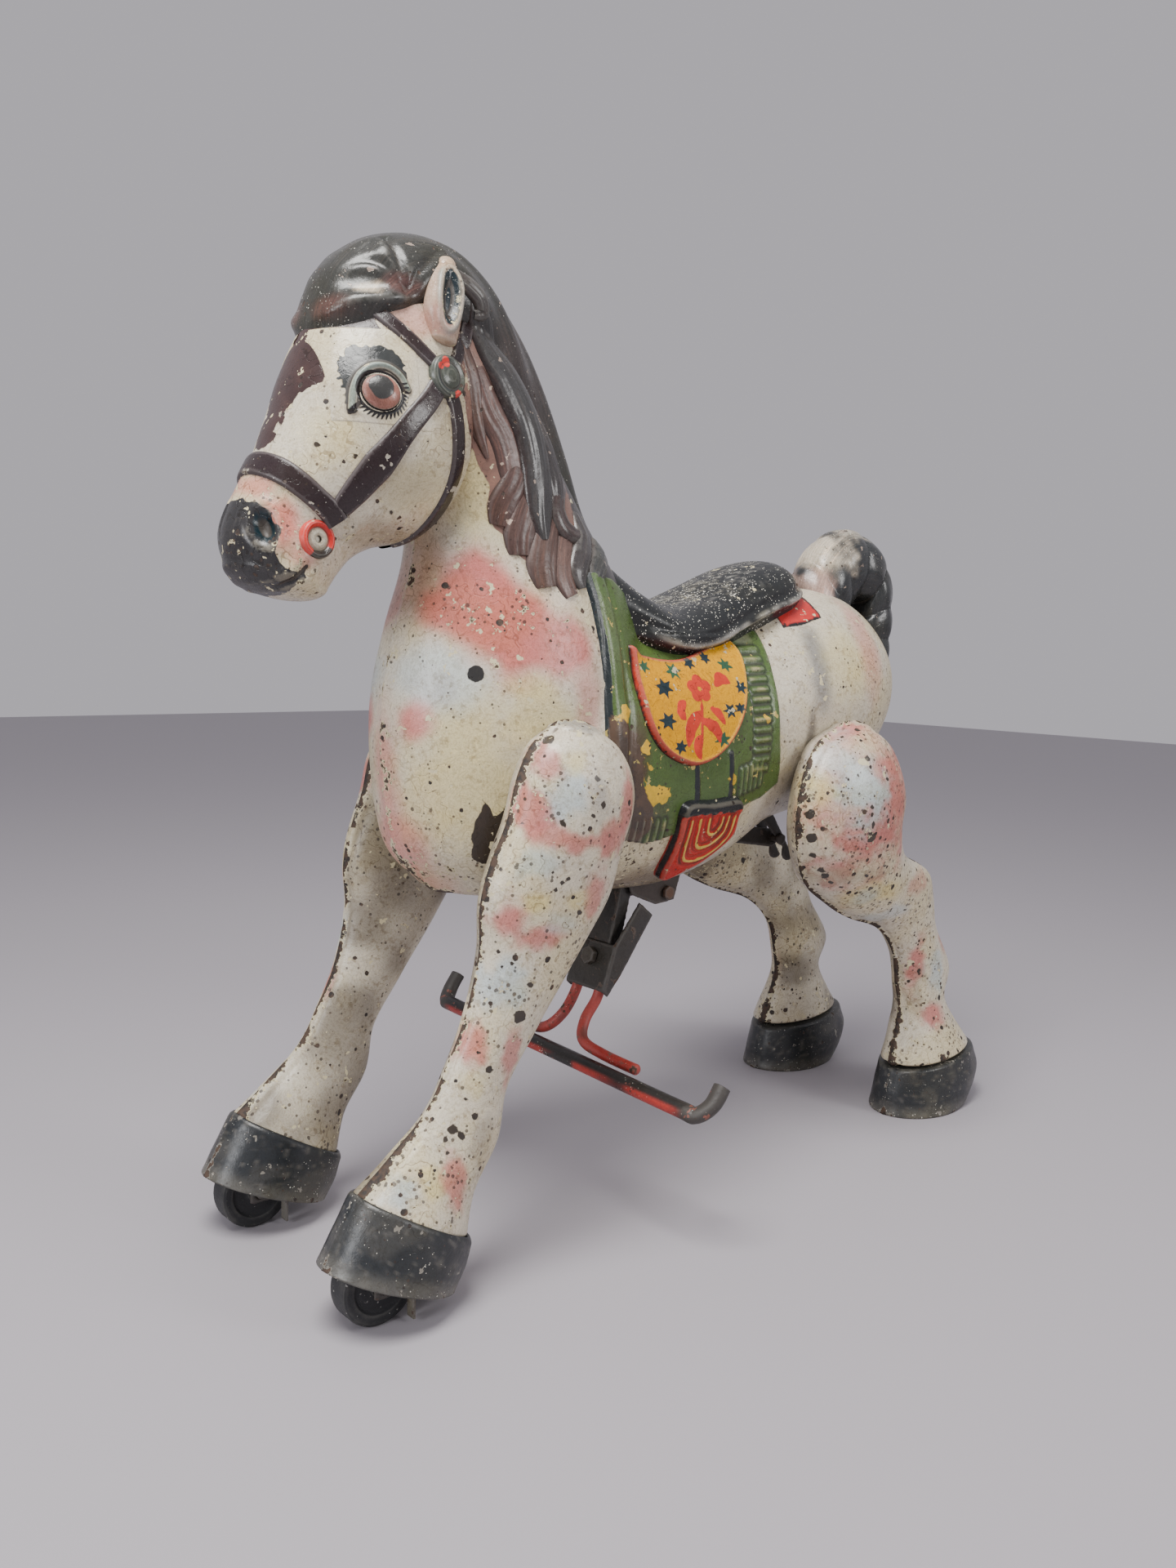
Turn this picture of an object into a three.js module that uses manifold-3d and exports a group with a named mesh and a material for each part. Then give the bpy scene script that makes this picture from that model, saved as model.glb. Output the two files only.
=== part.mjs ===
// A pressed-steel ride-on pony: one moulded horse body on four splayed legs, with wheels in the
// toes of its front hooves and a stirrup bar slung under the belly on a leaning sleeve.
// Millimetres. +X is forwards, +Y the pony's left, +Z up.

import * as THREE from 'three';
import { mergeVertices } from 'three/addons/utils/BufferGeometryUtils.js';
import Module from 'manifold-3d';

const wasm = await Module();
wasm.setup();

// Driving sizes
const gap = 0.3;                 // between pieces that touch
const wheelRadius = 29;
const wheelWidth = 19;
const wheelAt = { x: -15, y: 90 };
const wheelRunning = 1.5;        // between a wheel and each cheek of its fork
const axleRadius = 4;
const axleRunning = 0.4;         // round the axle in its wheel
const axleOverhang = 2;
const forkHalf = 8;              // half a fork cheek's length
const forkTop = 90;              // above the hoof's roof, which cuts it off
const hoofWall = 3;
const hoofCrown = 14;            // thickness of a front hoof's top
const tabThickness = 2.5;
const tabOut = 17;               // each drag tab, towards +Y of its wheel's middle
const tabBack = 20;              // each drag tab, behind its wheel's middle
const tabHalf = 4;
const tabBottom = 3;
const tabTop = 54;
const sheet = 3;                 // sleeve, brackets and hangers
const leverWidth = 30;
const sleeveWidth = 50;
const nutRadius = 8;
const nutHeight = 6;
const rodRadius = 4.5;
const rodOut = 14;               // each rod at the sleeve, out from the centre line
const treadHalfLength = 166;
const treadRadius = 7;
const bracketOut = 17;
const boltRadius = 4;
const boltHead = 4;
const hangerOut = 6.5;
const linkHalf = 2.5;
const linkBoltRadius = 3.5;
const seatRise = 5;              // of the saddle cloth's roll and flap over the body
const bagRise = 8;
const lockRise = 5;              // of the mane over the neck
const strapRise = 2.5;           // of the bridle over the head

// Paints, as seen
const paint = (color, roughness, metalness) =>
  new THREE.MeshStandardMaterial({ color, roughness, metalness });
const cream = paint(0xd9d2be, 0.45, 0.1);
const black = paint(0x25272b, 0.4, 0.2);
const iron = paint(0x2b2a27, 0.6, 0.4);
const red = paint(0x9c2f28, 0.5, 0.3);

// Swept forms. A station is one cross-section seen from the side: a and b are its two edge
// points [x, z], half its half width, y its middle, box how square it is.

function spline(v0, v1, v2, v3, t) {
  const m1 = (v2 - v0) / 2;
  const m2 = (v3 - v1) / 2;
  const t2 = t * t;
  const t3 = t2 * t;
  return (2 * t3 - 3 * t2 + 1) * v1 + (t3 - 2 * t2 + t) * m1
    + (3 * t2 - 2 * t3) * v2 + (t3 - t2) * m2;
}

const full = (s) => ({ y: 0, box: 2, ...s });

function between(stations, steps) {
  const all = stations.map(full);
  const pick = (i) => all[Math.min(Math.max(i, 0), all.length - 1)];
  const rings = [];
  for (let i = 0; i < all.length - 1; i++) {
    for (let k = 0; k < steps; k++) {
      const at = (read) => spline(
        read(pick(i - 1)), read(pick(i)), read(pick(i + 1)), read(pick(i + 2)), k / steps);
      rings.push({
        a: [at((s) => s.a[0]), at((s) => s.a[1])],
        b: [at((s) => s.b[0]), at((s) => s.b[1])],
        half: at((s) => s.half),
        y: at((s) => s.y),
        box: at((s) => s.box),
      });
    }
  }
  rings.push(all[all.length - 1]);
  return rings;
}

const middle = (r) => new THREE.Vector3((r.a[0] + r.b[0]) / 2, r.y, (r.a[1] + r.b[1]) / 2);

// Two shrinking copies of the end ring, so that an end bulges instead of being cut flat
function bulging(last, before, bulge) {
  const along = middle(last).sub(middle(before)).setLength(bulge);
  return [0.55, 0.88].map((t) => {
    const s = Math.sqrt(1 - t * t);
    const c = middle(last);
    const shrink = (p) => [
      c.x + (p[0] - c.x) * s + along.x * t,
      c.z + (p[1] - c.z) * s + along.z * t,
    ];
    return { ...last, a: shrink(last.a), b: shrink(last.b), half: last.half * s, y: c.y + along.y * t };
  });
}

function sweep(stations, { sides = 16, steps = 2, start = 0, end = 0 } = {}) {
  let rings = between(stations, steps);
  const tipAt = (last, before, bulge) =>
    middle(last).add(middle(last).sub(middle(before)).setLength(bulge));
  const tips = [
    start ? tipAt(rings[0], rings[1], start) : middle(rings[0]),
    end ? tipAt(rings.at(-1), rings.at(-2), end) : middle(rings.at(-1)),
  ];
  if (start) rings = [...bulging(rings[0], rings[1], start).reverse(), ...rings];
  if (end) rings = [...rings, ...bulging(rings.at(-1), rings.at(-2), end)];
  const soft = (v, box) => Math.sign(v) * Math.abs(v) ** (2 / box);
  return skin(rings.map((r) => {
    const c = middle(r);
    const loop = [];
    for (let k = 0; k < sides; k++) {
      const angle = (2 * Math.PI * k) / sides;
      const up = soft(Math.cos(angle), r.box);
      const out = soft(Math.sin(angle), r.box);
      loop.push(new THREE.Vector3(
        c.x + ((r.a[0] - r.b[0]) / 2) * up,
        c.y + r.half * out,
        c.z + ((r.a[1] - r.b[1]) / 2) * up));
    }
    return loop;
  }), tips);
}

// A closed skin over loops of equally many points, fanned to a tip at each end
function skin(loops, tips) {
  const sides = loops[0].length;
  const points = loops.flat();
  const faces = [];
  for (let i = 0; i < loops.length - 1; i++) {
    for (let k = 0; k < sides; k++) {
      const n = (k + 1) % sides;
      const row = i * sides;
      const next = row + sides;
      faces.push(row + k, next + k, row + n, row + n, next + k, next + n);
    }
  }
  const last = (loops.length - 1) * sides;
  points.push(tips[0], tips[1]);
  for (let k = 0; k < sides; k++) {
    const n = (k + 1) % sides;
    faces.push(points.length - 2, k, n);
    faces.push(points.length - 1, last + n, last + k);
  }
  const geometry = new THREE.BufferGeometry().setFromPoints(points);
  geometry.setIndex(faces);
  return outward(geometry);
}

// Turns every face round where the enclosed volume comes out negative
function outward(geometry) {
  const p = geometry.attributes.position;
  const f = geometry.index;
  const [a, b, c] = [new THREE.Vector3(), new THREE.Vector3(), new THREE.Vector3()];
  let volume = 0;
  for (let i = 0; i < f.count; i += 3) {
    a.fromBufferAttribute(p, f.getX(i));
    b.fromBufferAttribute(p, f.getX(i + 1));
    c.fromBufferAttribute(p, f.getX(i + 2));
    volume += a.dot(b.cross(c));
  }
  if (volume < 0) geometry.setIndex(Array.from(f.array).reverse());
  return geometry;
}

// A station list grown outwards by some rise, for relief that follows the form under it
function raised(stations, rise) {
  return stations.map((s) => {
    const [dx, dz] = [s.a[0] - s.b[0], s.a[1] - s.b[1]];
    const k = rise / Math.hypot(dx, dz);
    return {
      ...s,
      a: [s.a[0] + dx * k, s.a[1] + dz * k],
      b: [s.b[0] - dx * k, s.b[1] - dz * k],
      half: s.half + rise,
    };
  });
}

// Solids for joining and cutting
function welded(geometry) {
  const bare = geometry.clone();
  bare.deleteAttribute('normal');
  bare.deleteAttribute('uv');
  return mergeVertices(bare, 1e-3);
}

function solid(geometry) {
  const merged = welded(geometry);
  return new wasm.Manifold(new wasm.Mesh({
    numProp: 3,
    vertProperties: new Float32Array(merged.attributes.position.array),
    triVerts: new Uint32Array(merged.index.array),
  }));
}

function shapeOf(manifold) {
  const m = manifold.getMesh();
  const geometry = new THREE.BufferGeometry();
  geometry.setAttribute('position', new THREE.Float32BufferAttribute(m.vertProperties, 3));
  geometry.setIndex(Array.from(m.triVerts));
  return geometry;
}

const join = (geometries) => geometries.map(solid).reduce((all, one) => all.add(one));

function mirrored(geometry) {
  const copy = welded(geometry).scale(1, -1, 1);
  copy.setIndex(Array.from(copy.index.array).reverse());
  return copy;
}

const both = (geometry) => [geometry, mirrored(geometry)];

// A flat plate from an outline seen from the side, standing between two values of y
function plate(outline, from, to) {
  const shape = new THREE.Shape(outline.map(([x, z]) => new THREE.Vector2(x, z)));
  return new THREE.ExtrudeGeometry(shape, { depth: to - from, bevelEnabled: false })
    .rotateX(Math.PI / 2)
    .translate(0, to, 0);
}

// The part of a grown form that lies inside an outline, on both flanks
function relief(stations, options, rise, outline, smooth = 0) {
  const edge = smooth
    ? new THREE.CatmullRomCurve3(outline.map(([x, z]) => new THREE.Vector3(x, 0, z)), true)
      .getPoints(smooth).slice(0, -1).map((p) => [p.x, p.z])
    : outline;
  const form = solid(sweep(raised(stations, rise), options));
  return both(plate(edge, -1, 200)).map((g) => form.intersect(solid(g)));
}

function box(low, high) {
  const size = high.map((v, i) => v - low[i]);
  return new THREE.BoxGeometry(...size).translate(...low.map((v, i) => v + size[i] / 2));
}

const crossBar = (radius, length, x, y, z, sides) =>
  new THREE.CylinderGeometry(radius, radius, length, sides).translate(x, y, z);

// The body, from rump to chest
const barrelRows = [
  { a: [-640, 452], b: [-636, 392], half: 36 },
  { a: [-618, 488], b: [-612, 356], half: 62 },
  { a: [-578, 512], b: [-572, 322], half: 80 },
  { a: [-528, 518], b: [-520, 305], half: 86 },
  { a: [-470, 510], b: [-460, 292], half: 85 },
  { a: [-408, 490], b: [-403, 264], half: 84 },
  { a: [-340, 476], b: [-340, 252], half: 87, box: 2.1 },
  { a: [-270, 482], b: [-270, 252], half: 90, box: 2.1 },
  { a: [-210, 496], b: [-204, 254], half: 91, box: 2.1 },
  { a: [-158, 480], b: [-154, 266], half: 82 },
];
const barrelShape = { sides: 18, steps: 1, start: 14, end: 12 };

const neckRows = [
  { a: [-126, 280], b: [-290, 276], half: 56 },
  { a: [-93, 308], b: [-300, 306], half: 77 },
  { a: [-76, 355], b: [-310, 366], half: 87 },
  { a: [-75, 412], b: [-306, 440], half: 88 },
  { a: [-86, 466], b: [-284, 506], half: 77 },
  { a: [-100, 516], b: [-248, 556], half: 63 },
  { a: [-101, 562], b: [-214, 604], half: 55 },
  { a: [-88, 610], b: [-182, 648], half: 51 },
  { a: [-62, 660], b: [-144, 688], half: 45 },
];
const neckShape = { sides: 18, steps: 1, start: 10, end: 12 };

const headRows = [
  { a: [-44, 716], b: [-128, 692], half: 38 },
  { a: [-10, 674], b: [-146, 640], half: 54 },
  { a: [6, 638], b: [-138, 590], half: 60, box: 2.2 },
  { a: [15, 608], b: [-118, 553], half: 58, box: 2.2 },
  { a: [25, 584], b: [-88, 530], half: 50, box: 2.2 },
  { a: [35, 565], b: [-60, 522], half: 42 },
  { a: [43, 547], b: [-44, 514], half: 37 },
  { a: [48, 527], b: [-32, 503], half: 38 },
  { a: [46, 508], b: [-24, 493], half: 36 },
];
const headShape = { sides: 18, steps: 1, start: 8, end: 14 };

const barrel = sweep(barrelRows, barrelShape);
const neck = sweep(neckRows, neckShape);
const head = sweep(headRows, headShape);

// Hair: a cap rolled over the forehead, then the crest running down the neck
const hairCap = sweep([
  { a: [-5, 662], b: [-34, 650], half: 26 },
  { a: [-8, 684], b: [-54, 654], half: 38 },
  { a: [-20, 711], b: [-76, 660], half: 45 },
  { a: [-54, 735], b: [-92, 664], half: 48 },
  { a: [-98, 741], b: [-110, 660], half: 48 },
  { a: [-140, 727], b: [-124, 648], half: 43 },
  { a: [-180, 693], b: [-138, 632], half: 34 },
  { a: [-211, 652], b: [-156, 606], half: 28 },
  { a: [-235, 605], b: [-178, 572], half: 27 },
  { a: [-253, 560], b: [-200, 538], half: 29 },
  { a: [-280, 522], b: [-230, 500], half: 32 },
  { a: [-312, 494], b: [-270, 476], half: 32 },
], { sides: 14, steps: 1, start: 6, end: 8 });

const maneOutline = [
  [-100, 750], [-112, 690], [-115, 655], [-119, 620], [-128, 588], [-132, 565], [-138, 545],
  [-148, 536], [-156, 526], [-166, 522], [-176, 508], [-190, 500], [-206, 508], [-222, 506],
  [-236, 514], [-252, 504], [-300, 500], [-330, 560], [-250, 660], [-170, 750],
];

const maneForm = sweep(raised(neckRows, lockRise), neckShape);

// One lock of hair lying along a flank: points are [x, z], radius shrinks to the tip
function lock(over, points, thick, thin) {
  const ray = new THREE.Raycaster();
  const target = new THREE.Mesh(over, new THREE.MeshBasicMaterial({ side: THREE.DoubleSide }));
  const onSkin = ([x, z]) => {
    ray.set(new THREE.Vector3(x, 300, z), new THREE.Vector3(0, -1, 0));
    const hit = ray.intersectObject(target)[0];
    return new THREE.Vector3(x, hit ? hit.point.y : 0, z);
  };
  const curve = new THREE.CatmullRomCurve3(points.map(onSkin));
  const count = points.length + 1;
  const loops = [];
  for (let i = 0; i <= count; i++) {
    const t = i / count;
    const c = curve.getPoint(t);
    const along = curve.getTangent(t);
    const across = new THREE.Vector3().crossVectors(along, new THREE.Vector3(0, 1, 0)).normalize();
    const outwards = new THREE.Vector3().crossVectors(across, along).normalize();
    const r = (thick + (thin - thick) * t) * (0.55 + 0.45 * Math.sin(Math.PI * Math.min(1, t + 0.3)));
    const loop = [];
    for (let k = 0; k < 6; k++) {
      const angle = (Math.PI * k) / 3;
      loop.push(c.clone()
        .addScaledVector(across, r * Math.cos(angle))
        .addScaledVector(outwards, r * 0.8 * Math.sin(angle)));
    }
    loops.push(loop);
  }
  return skin(loops, [curve.getPoint(0), curve.getPoint(1)]);
}

const locks = [
  [[[-128, 672], [-134, 638], [-160, 600], [-166, 560], [-178, 540]], 11, 6],
  [[[-117, 648], [-124, 606], [-138, 562]], 9, 5],
  [[[-176, 632], [-190, 580], [-200, 528]], 10, 6],
  [[[-152, 566], [-160, 538], [-180, 512]], 9, 6],
  [[[-212, 596], [-220, 556], [-244, 516]], 11, 7],
];

// An ear, cupped forwards and out
const ear = sweep([
  { a: [-84, 654], b: [-108, 650], half: 9, y: 50 },
  { a: [-82, 676], b: [-112, 672], half: 11, y: 51 },
  { a: [-88, 698], b: [-114, 696], half: 10, y: 49 },
  { a: [-97, 713], b: [-111, 713], half: 6, y: 44 },
], { sides: 8, steps: 1, start: 4, end: 7 });

const earCup = sweep([
  { a: [-90, 668], b: [-104, 666], half: 4, y: 62 },
  { a: [-90, 690], b: [-107, 688], half: 5, y: 61 },
  { a: [-98, 708], b: [-108, 708], half: 3, y: 56 },
], { sides: 8, steps: 1, start: 4, end: 4 });

const eye = new THREE.SphereGeometry(1, 8, 5).scale(14, 8, 12).translate(-36, 52, 621);
const eyeRim = new THREE.TorusGeometry(14, 3.5, 4, 12).rotateX(Math.PI / 2)
  .scale(1, 1, 0.86).translate(-36, 50, 621);
const rosette = new THREE.SphereGeometry(1, 8, 4).scale(15, 8, 15).translate(-87, 55, 638);
const bitRing = new THREE.TorusGeometry(9, 3, 4, 10).rotateX(Math.PI / 2)
  .rotateZ(-0.5).translate(-3, 38, 523);
const nostril = new THREE.SphereGeometry(1, 8, 5).scale(7, 9, 10).translate(34, 26, 533);

// Straps and cloth: strips of the grown head and barrel
const strap = (points, width) => {
  const path = points.map(([x, z]) => new THREE.Vector2(x, z));
  const side = (sign) => path.map((p, i) => {
    const along = path[Math.min(i + 1, path.length - 1)].clone()
      .sub(path[Math.max(i - 1, 0)]).normalize();
    return [p.x - along.y * sign * width / 2, p.y + along.x * sign * width / 2];
  });
  return [...side(1), ...side(-1).reverse()];
};
const headStraps = [
  strap([[-36, 690], [-50, 672], [-65, 656], [-84, 642]], 9),
  strap([[-78, 634], [-57, 606], [-36, 578], [-10, 548]], 12),
  strap([[50, 588], [20, 571], [-8, 545], [-22, 532]], 12),
  strap([[-90, 636], [-100, 655], [-108, 676]], 9),
];
const throatStrap = strap([[-92, 626], [-101, 600], [-104, 572], [-98, 546], [-78, 510]], 10);

const blanketRoll = strap([[-204, 505], [-218, 446], [-217, 404], [-211, 360], [-209, 300]], 9);
const flapOutline = [
  [-248, 462], [-247, 430], [-253, 403], [-266, 384], [-284, 372], [-308, 365], [-334, 368],
  [-358, 379], [-376, 399], [-389, 427], [-392, 451], [-380, 475], [-320, 480],
];
const bagOutline = [[-302, 334], [-368, 334], [-374, 288], [-322, 262], [-298, 272]];
const cantleOutline = [[-440, 478], [-504, 492], [-500, 520], [-446, 530]];

const seat = sweep([
  { a: [-268, 526], b: [-256, 450], half: 52 },
  { a: [-298, 505], b: [-290, 440], half: 65 },
  { a: [-328, 495], b: [-325, 438], half: 69 },
  { a: [-366, 505], b: [-366, 442], half: 66 },
  { a: [-406, 523], b: [-406, 452], half: 60 },
  { a: [-446, 538], b: [-444, 464], half: 56 },
  { a: [-480, 541], b: [-478, 474], half: 50 },
  { a: [-506, 528], b: [-506, 480], half: 34 },
], { sides: 16, steps: 1, start: 8, end: 6 });

// The tail: a high arch, then down to a blunt tip
const tail = sweep([
  { a: [-532, 505], b: [-580, 462], half: 28 },
  { a: [-550, 542], b: [-602, 494], half: 29 },
  { a: [-582, 572], b: [-618, 510], half: 29 },
  { a: [-622, 577], b: [-630, 508], half: 30 },
  { a: [-658, 552], b: [-628, 496], half: 30 },
  { a: [-674, 505], b: [-622, 478], half: 29 },
  { a: [-672, 455], b: [-620, 438], half: 27 },
  { a: [-662, 405], b: [-616, 402], half: 23 },
  { a: [-652, 378], b: [-620, 382], half: 16 },
], { sides: 14, steps: 1, start: 4, end: 10 });

const tailLocks = [
  [[[-562, 530], [-604, 556], [-648, 530]], 11, 8],
  [[[-640, 545], [-660, 495], [-652, 425]], 10, 7],
];

const barrelRelief = (rise, outline, smooth) =>
  relief(barrelRows, barrelShape, rise, outline, smooth);
const headRelief = (outline) => relief(headRows, headShape, strapRise, outline);

let body = join([
  barrel, neck, head, hairCap, seat, tail,
  ...both(ear), ...both(eye), ...both(eyeRim), ...both(rosette), ...both(bitRing),
  ...locks.flatMap(([points, thick, thin]) => both(lock(maneForm, points, thick, thin))),
  ...tailLocks.flatMap(([points, thick, thin]) => both(lock(tail, points, thick, thin))),
]);
const worn = [
  ...relief(neckRows, neckShape, lockRise, maneOutline, 24),
  ...headStraps.flatMap(headRelief),
  ...relief(headRows, headShape, strapRise, throatStrap),
  ...barrelRelief(seatRise, blanketRoll),
  ...barrelRelief(seatRise, flapOutline),
  ...barrelRelief(bagRise, bagOutline),
  ...barrelRelief(seatRise, cantleOutline),
];
body = worn.reduce((all, one) => all.add(one), body);
body = [...both(earCup), ...both(nostril)].reduce((all, g) => all.subtract(solid(g)), body);

// Legs, drawn for the left side
const frontLeg = sweep([
  { a: [-152, 406], b: [-190, 404], half: 17, y: 94 },
  { a: [-132, 385], b: [-222, 378], half: 29, y: 96 },
  { a: [-123, 350], b: [-226, 346], half: 34, y: 97 },
  { a: [-117, 315], b: [-216, 308], half: 32, y: 95 },
  { a: [-110, 280], b: [-202, 268], half: 28, y: 93 },
  { a: [-104, 240], b: [-178, 228], half: 25, y: 91 },
  { a: [-90, 195], b: [-152, 178], half: 21, y: 90 },
  { a: [-70, 158], b: [-132, 138], half: 20, y: 90 },
  { a: [-44, 128], b: [-112, 104], half: 21, y: 90 },
  { a: [-20, 107], b: [-94, 70], half: 26, y: 90 },
  { a: [-2, 90], b: [-86, 44], half: 32, y: 90 },
], { sides: 12, steps: 1, start: 5, end: 8 });

const rearLeg = sweep([
  { a: [-480, 396], b: [-512, 396], half: 18, y: 100 },
  { a: [-446, 376], b: [-546, 374], half: 32, y: 103 },
  { a: [-434, 335], b: [-566, 332], half: 39, y: 104 },
  { a: [-436, 290], b: [-576, 298], half: 38, y: 101 },
  { a: [-462, 250], b: [-600, 276], half: 33, y: 95 },
  { a: [-520, 216], b: [-640, 256], half: 27, y: 88 },
  { a: [-582, 194], b: [-662, 226], half: 22, y: 83 },
  { a: [-610, 164], b: [-676, 184], half: 19, y: 80 },
  { a: [-622, 130], b: [-704, 144], half: 20, y: 79 },
  { a: [-630, 100], b: [-694, 110], half: 23, y: 81 },
  { a: [-624, 56], b: [-728, 70], half: 34, y: 85 },
], { sides: 12, steps: 1, start: 5, end: 8 });

// A hoof: inset and low shrink and drop the form, for hollowing it from below
const frontHoof = (inset, low) => sweep([
  { a: [1 - inset, 90 - low], b: [-89 + inset, 38 - low], half: 35 - inset, y: 90 },
  { a: [13 - inset, 68 - low], b: [-84 + inset, 24 - low], half: 38 - inset, y: 90 },
  { a: [24 - inset, 48 - low], b: [-74 + inset, 9 - low], half: 40 - inset, y: 90 },
], { sides: 14, steps: 1 });

const rearHoof = sweep([
  { a: [-622, 50], b: [-734, 66], half: 37, y: 85 },
  { a: [-615, 26], b: [-742, 40], half: 41, y: 85 },
  { a: [-609, 0], b: [-718, 0], half: 42, y: 85 },
], { sides: 20, steps: 1 });

// The stirrup gear under the belly, seen from the side
const leverOutline = [[-326, 285], [-310, 285], [-291, 202], [-304, 199]];
const flangeOutline = [[-318, 240], [-334, 227], [-299, 180], [-283, 162], [-277, 167], [-290, 206]];
const webOutline = [[-290, 206], [-277, 167], [-280, 166], [-293, 205]];
const webLean = Math.atan2(13, 39);
const bracketOutline = [[-304, 266], [-374, 266], [-364, 236], [-342, 234], [-312, 246]];
const bracketBolt = { x: -354, z: 244 };
const linkOutline = [[-425, 300], [-425, 282], [-516, 267], [-526, 272], [-526, 282], [-516, 285]];
const linkBolt = { x: -517, z: 276 };

const half = sleeveWidth / 2;
const sleeve = join([
  plate(flangeOutline, -half, sheet - half),
  plate(flangeOutline, half - sheet, half),
  plate(webOutline, -half, half),
]);

const nut = new THREE.CylinderGeometry(nutRadius, nutRadius, nutHeight, 6)
  .rotateZ(Math.PI / 2)
  .rotateY(-webLean)
  .translate(-282.3, 0, 194);

// A hanger: a strip slanting down and back to a rounded end
const hanger = (from, to) => {
  const shape = new THREE.Shape();
  shape.absarc(-533, 262, 9, -0.8 * Math.PI, 0.2 * Math.PI);
  shape.lineTo(-478, 310);
  shape.lineTo(-492, 322);
  return new THREE.ExtrudeGeometry(shape, { depth: to - from, bevelEnabled: false, curveSegments: 5 })
    .rotateX(Math.PI / 2)
    .translate(0, to, 0);
};

// A bolt across the pony, with a hexagonal head at each end
const bolt = ({ x, z }, radius, reach, head) => join([
  crossBar(radius, 2 * reach + head, x, 0, z, 12),
  crossBar(radius + 2.5, head, x, reach + head / 2, z, 6),
  crossBar(radius + 2.5, head, x, -reach - head / 2, z, 6),
]);

function tube(points, radius, sides, steps) {
  const section = new THREE.Shape();
  for (let k = 0; k < sides; k++) {
    const angle = (2 * Math.PI * k) / sides;
    const [u, v] = [radius * Math.cos(angle), radius * Math.sin(angle)];
    if (k) section.lineTo(u, v);
    else section.moveTo(u, v);
  }
  const extrudePath = new THREE.CatmullRomCurve3(points.map((p) => new THREE.Vector3(...p)));
  return new THREE.ExtrudeGeometry(section, { steps, bevelEnabled: false, extrudePath });
}

// Each rod drops from the sleeve, then turns outwards along the back of the tread
const rod = (sign) => tube([
  [-286, sign * rodOut, 178], [-280, sign * rodOut, 160], [-267, sign * rodOut, 143],
  [-257, sign * 24, 130], [-258, sign * 48, 124], [-260, sign * 88, 121],
], rodRadius, 6, 11);

// The tread crosses the pony and turns up and back at both ends; it hangs a little askew
const tread = tube([
  [-268, -treadHalfLength - 5, 142], [-258, -treadHalfLength - 4, 129],
  [-249, -treadHalfLength + 4, 121], [-247, -treadHalfLength + 18, 120],
  [-247, 0, 116],
  [-247, treadHalfLength - 18, 111], [-249, treadHalfLength - 4, 110],
  [-258, treadHalfLength + 4, 118], [-268, treadHalfLength + 5, 131],
], treadRadius, 8, 22);

// The pieces, with the pony standing at the middle of its own length
const pony = new THREE.Group();

function add(name, shape, material) {
  const piece = new THREE.Mesh(shape.getMesh ? shapeOf(shape) : shape, material);
  piece.name = name;
  pony.add(piece);
}

const belowBody = body.translate([0, 0, -gap]);
const clearOfBody = (shape) => shape.subtract(body).subtract(belowBody);

add('body', body, cream);

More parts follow.
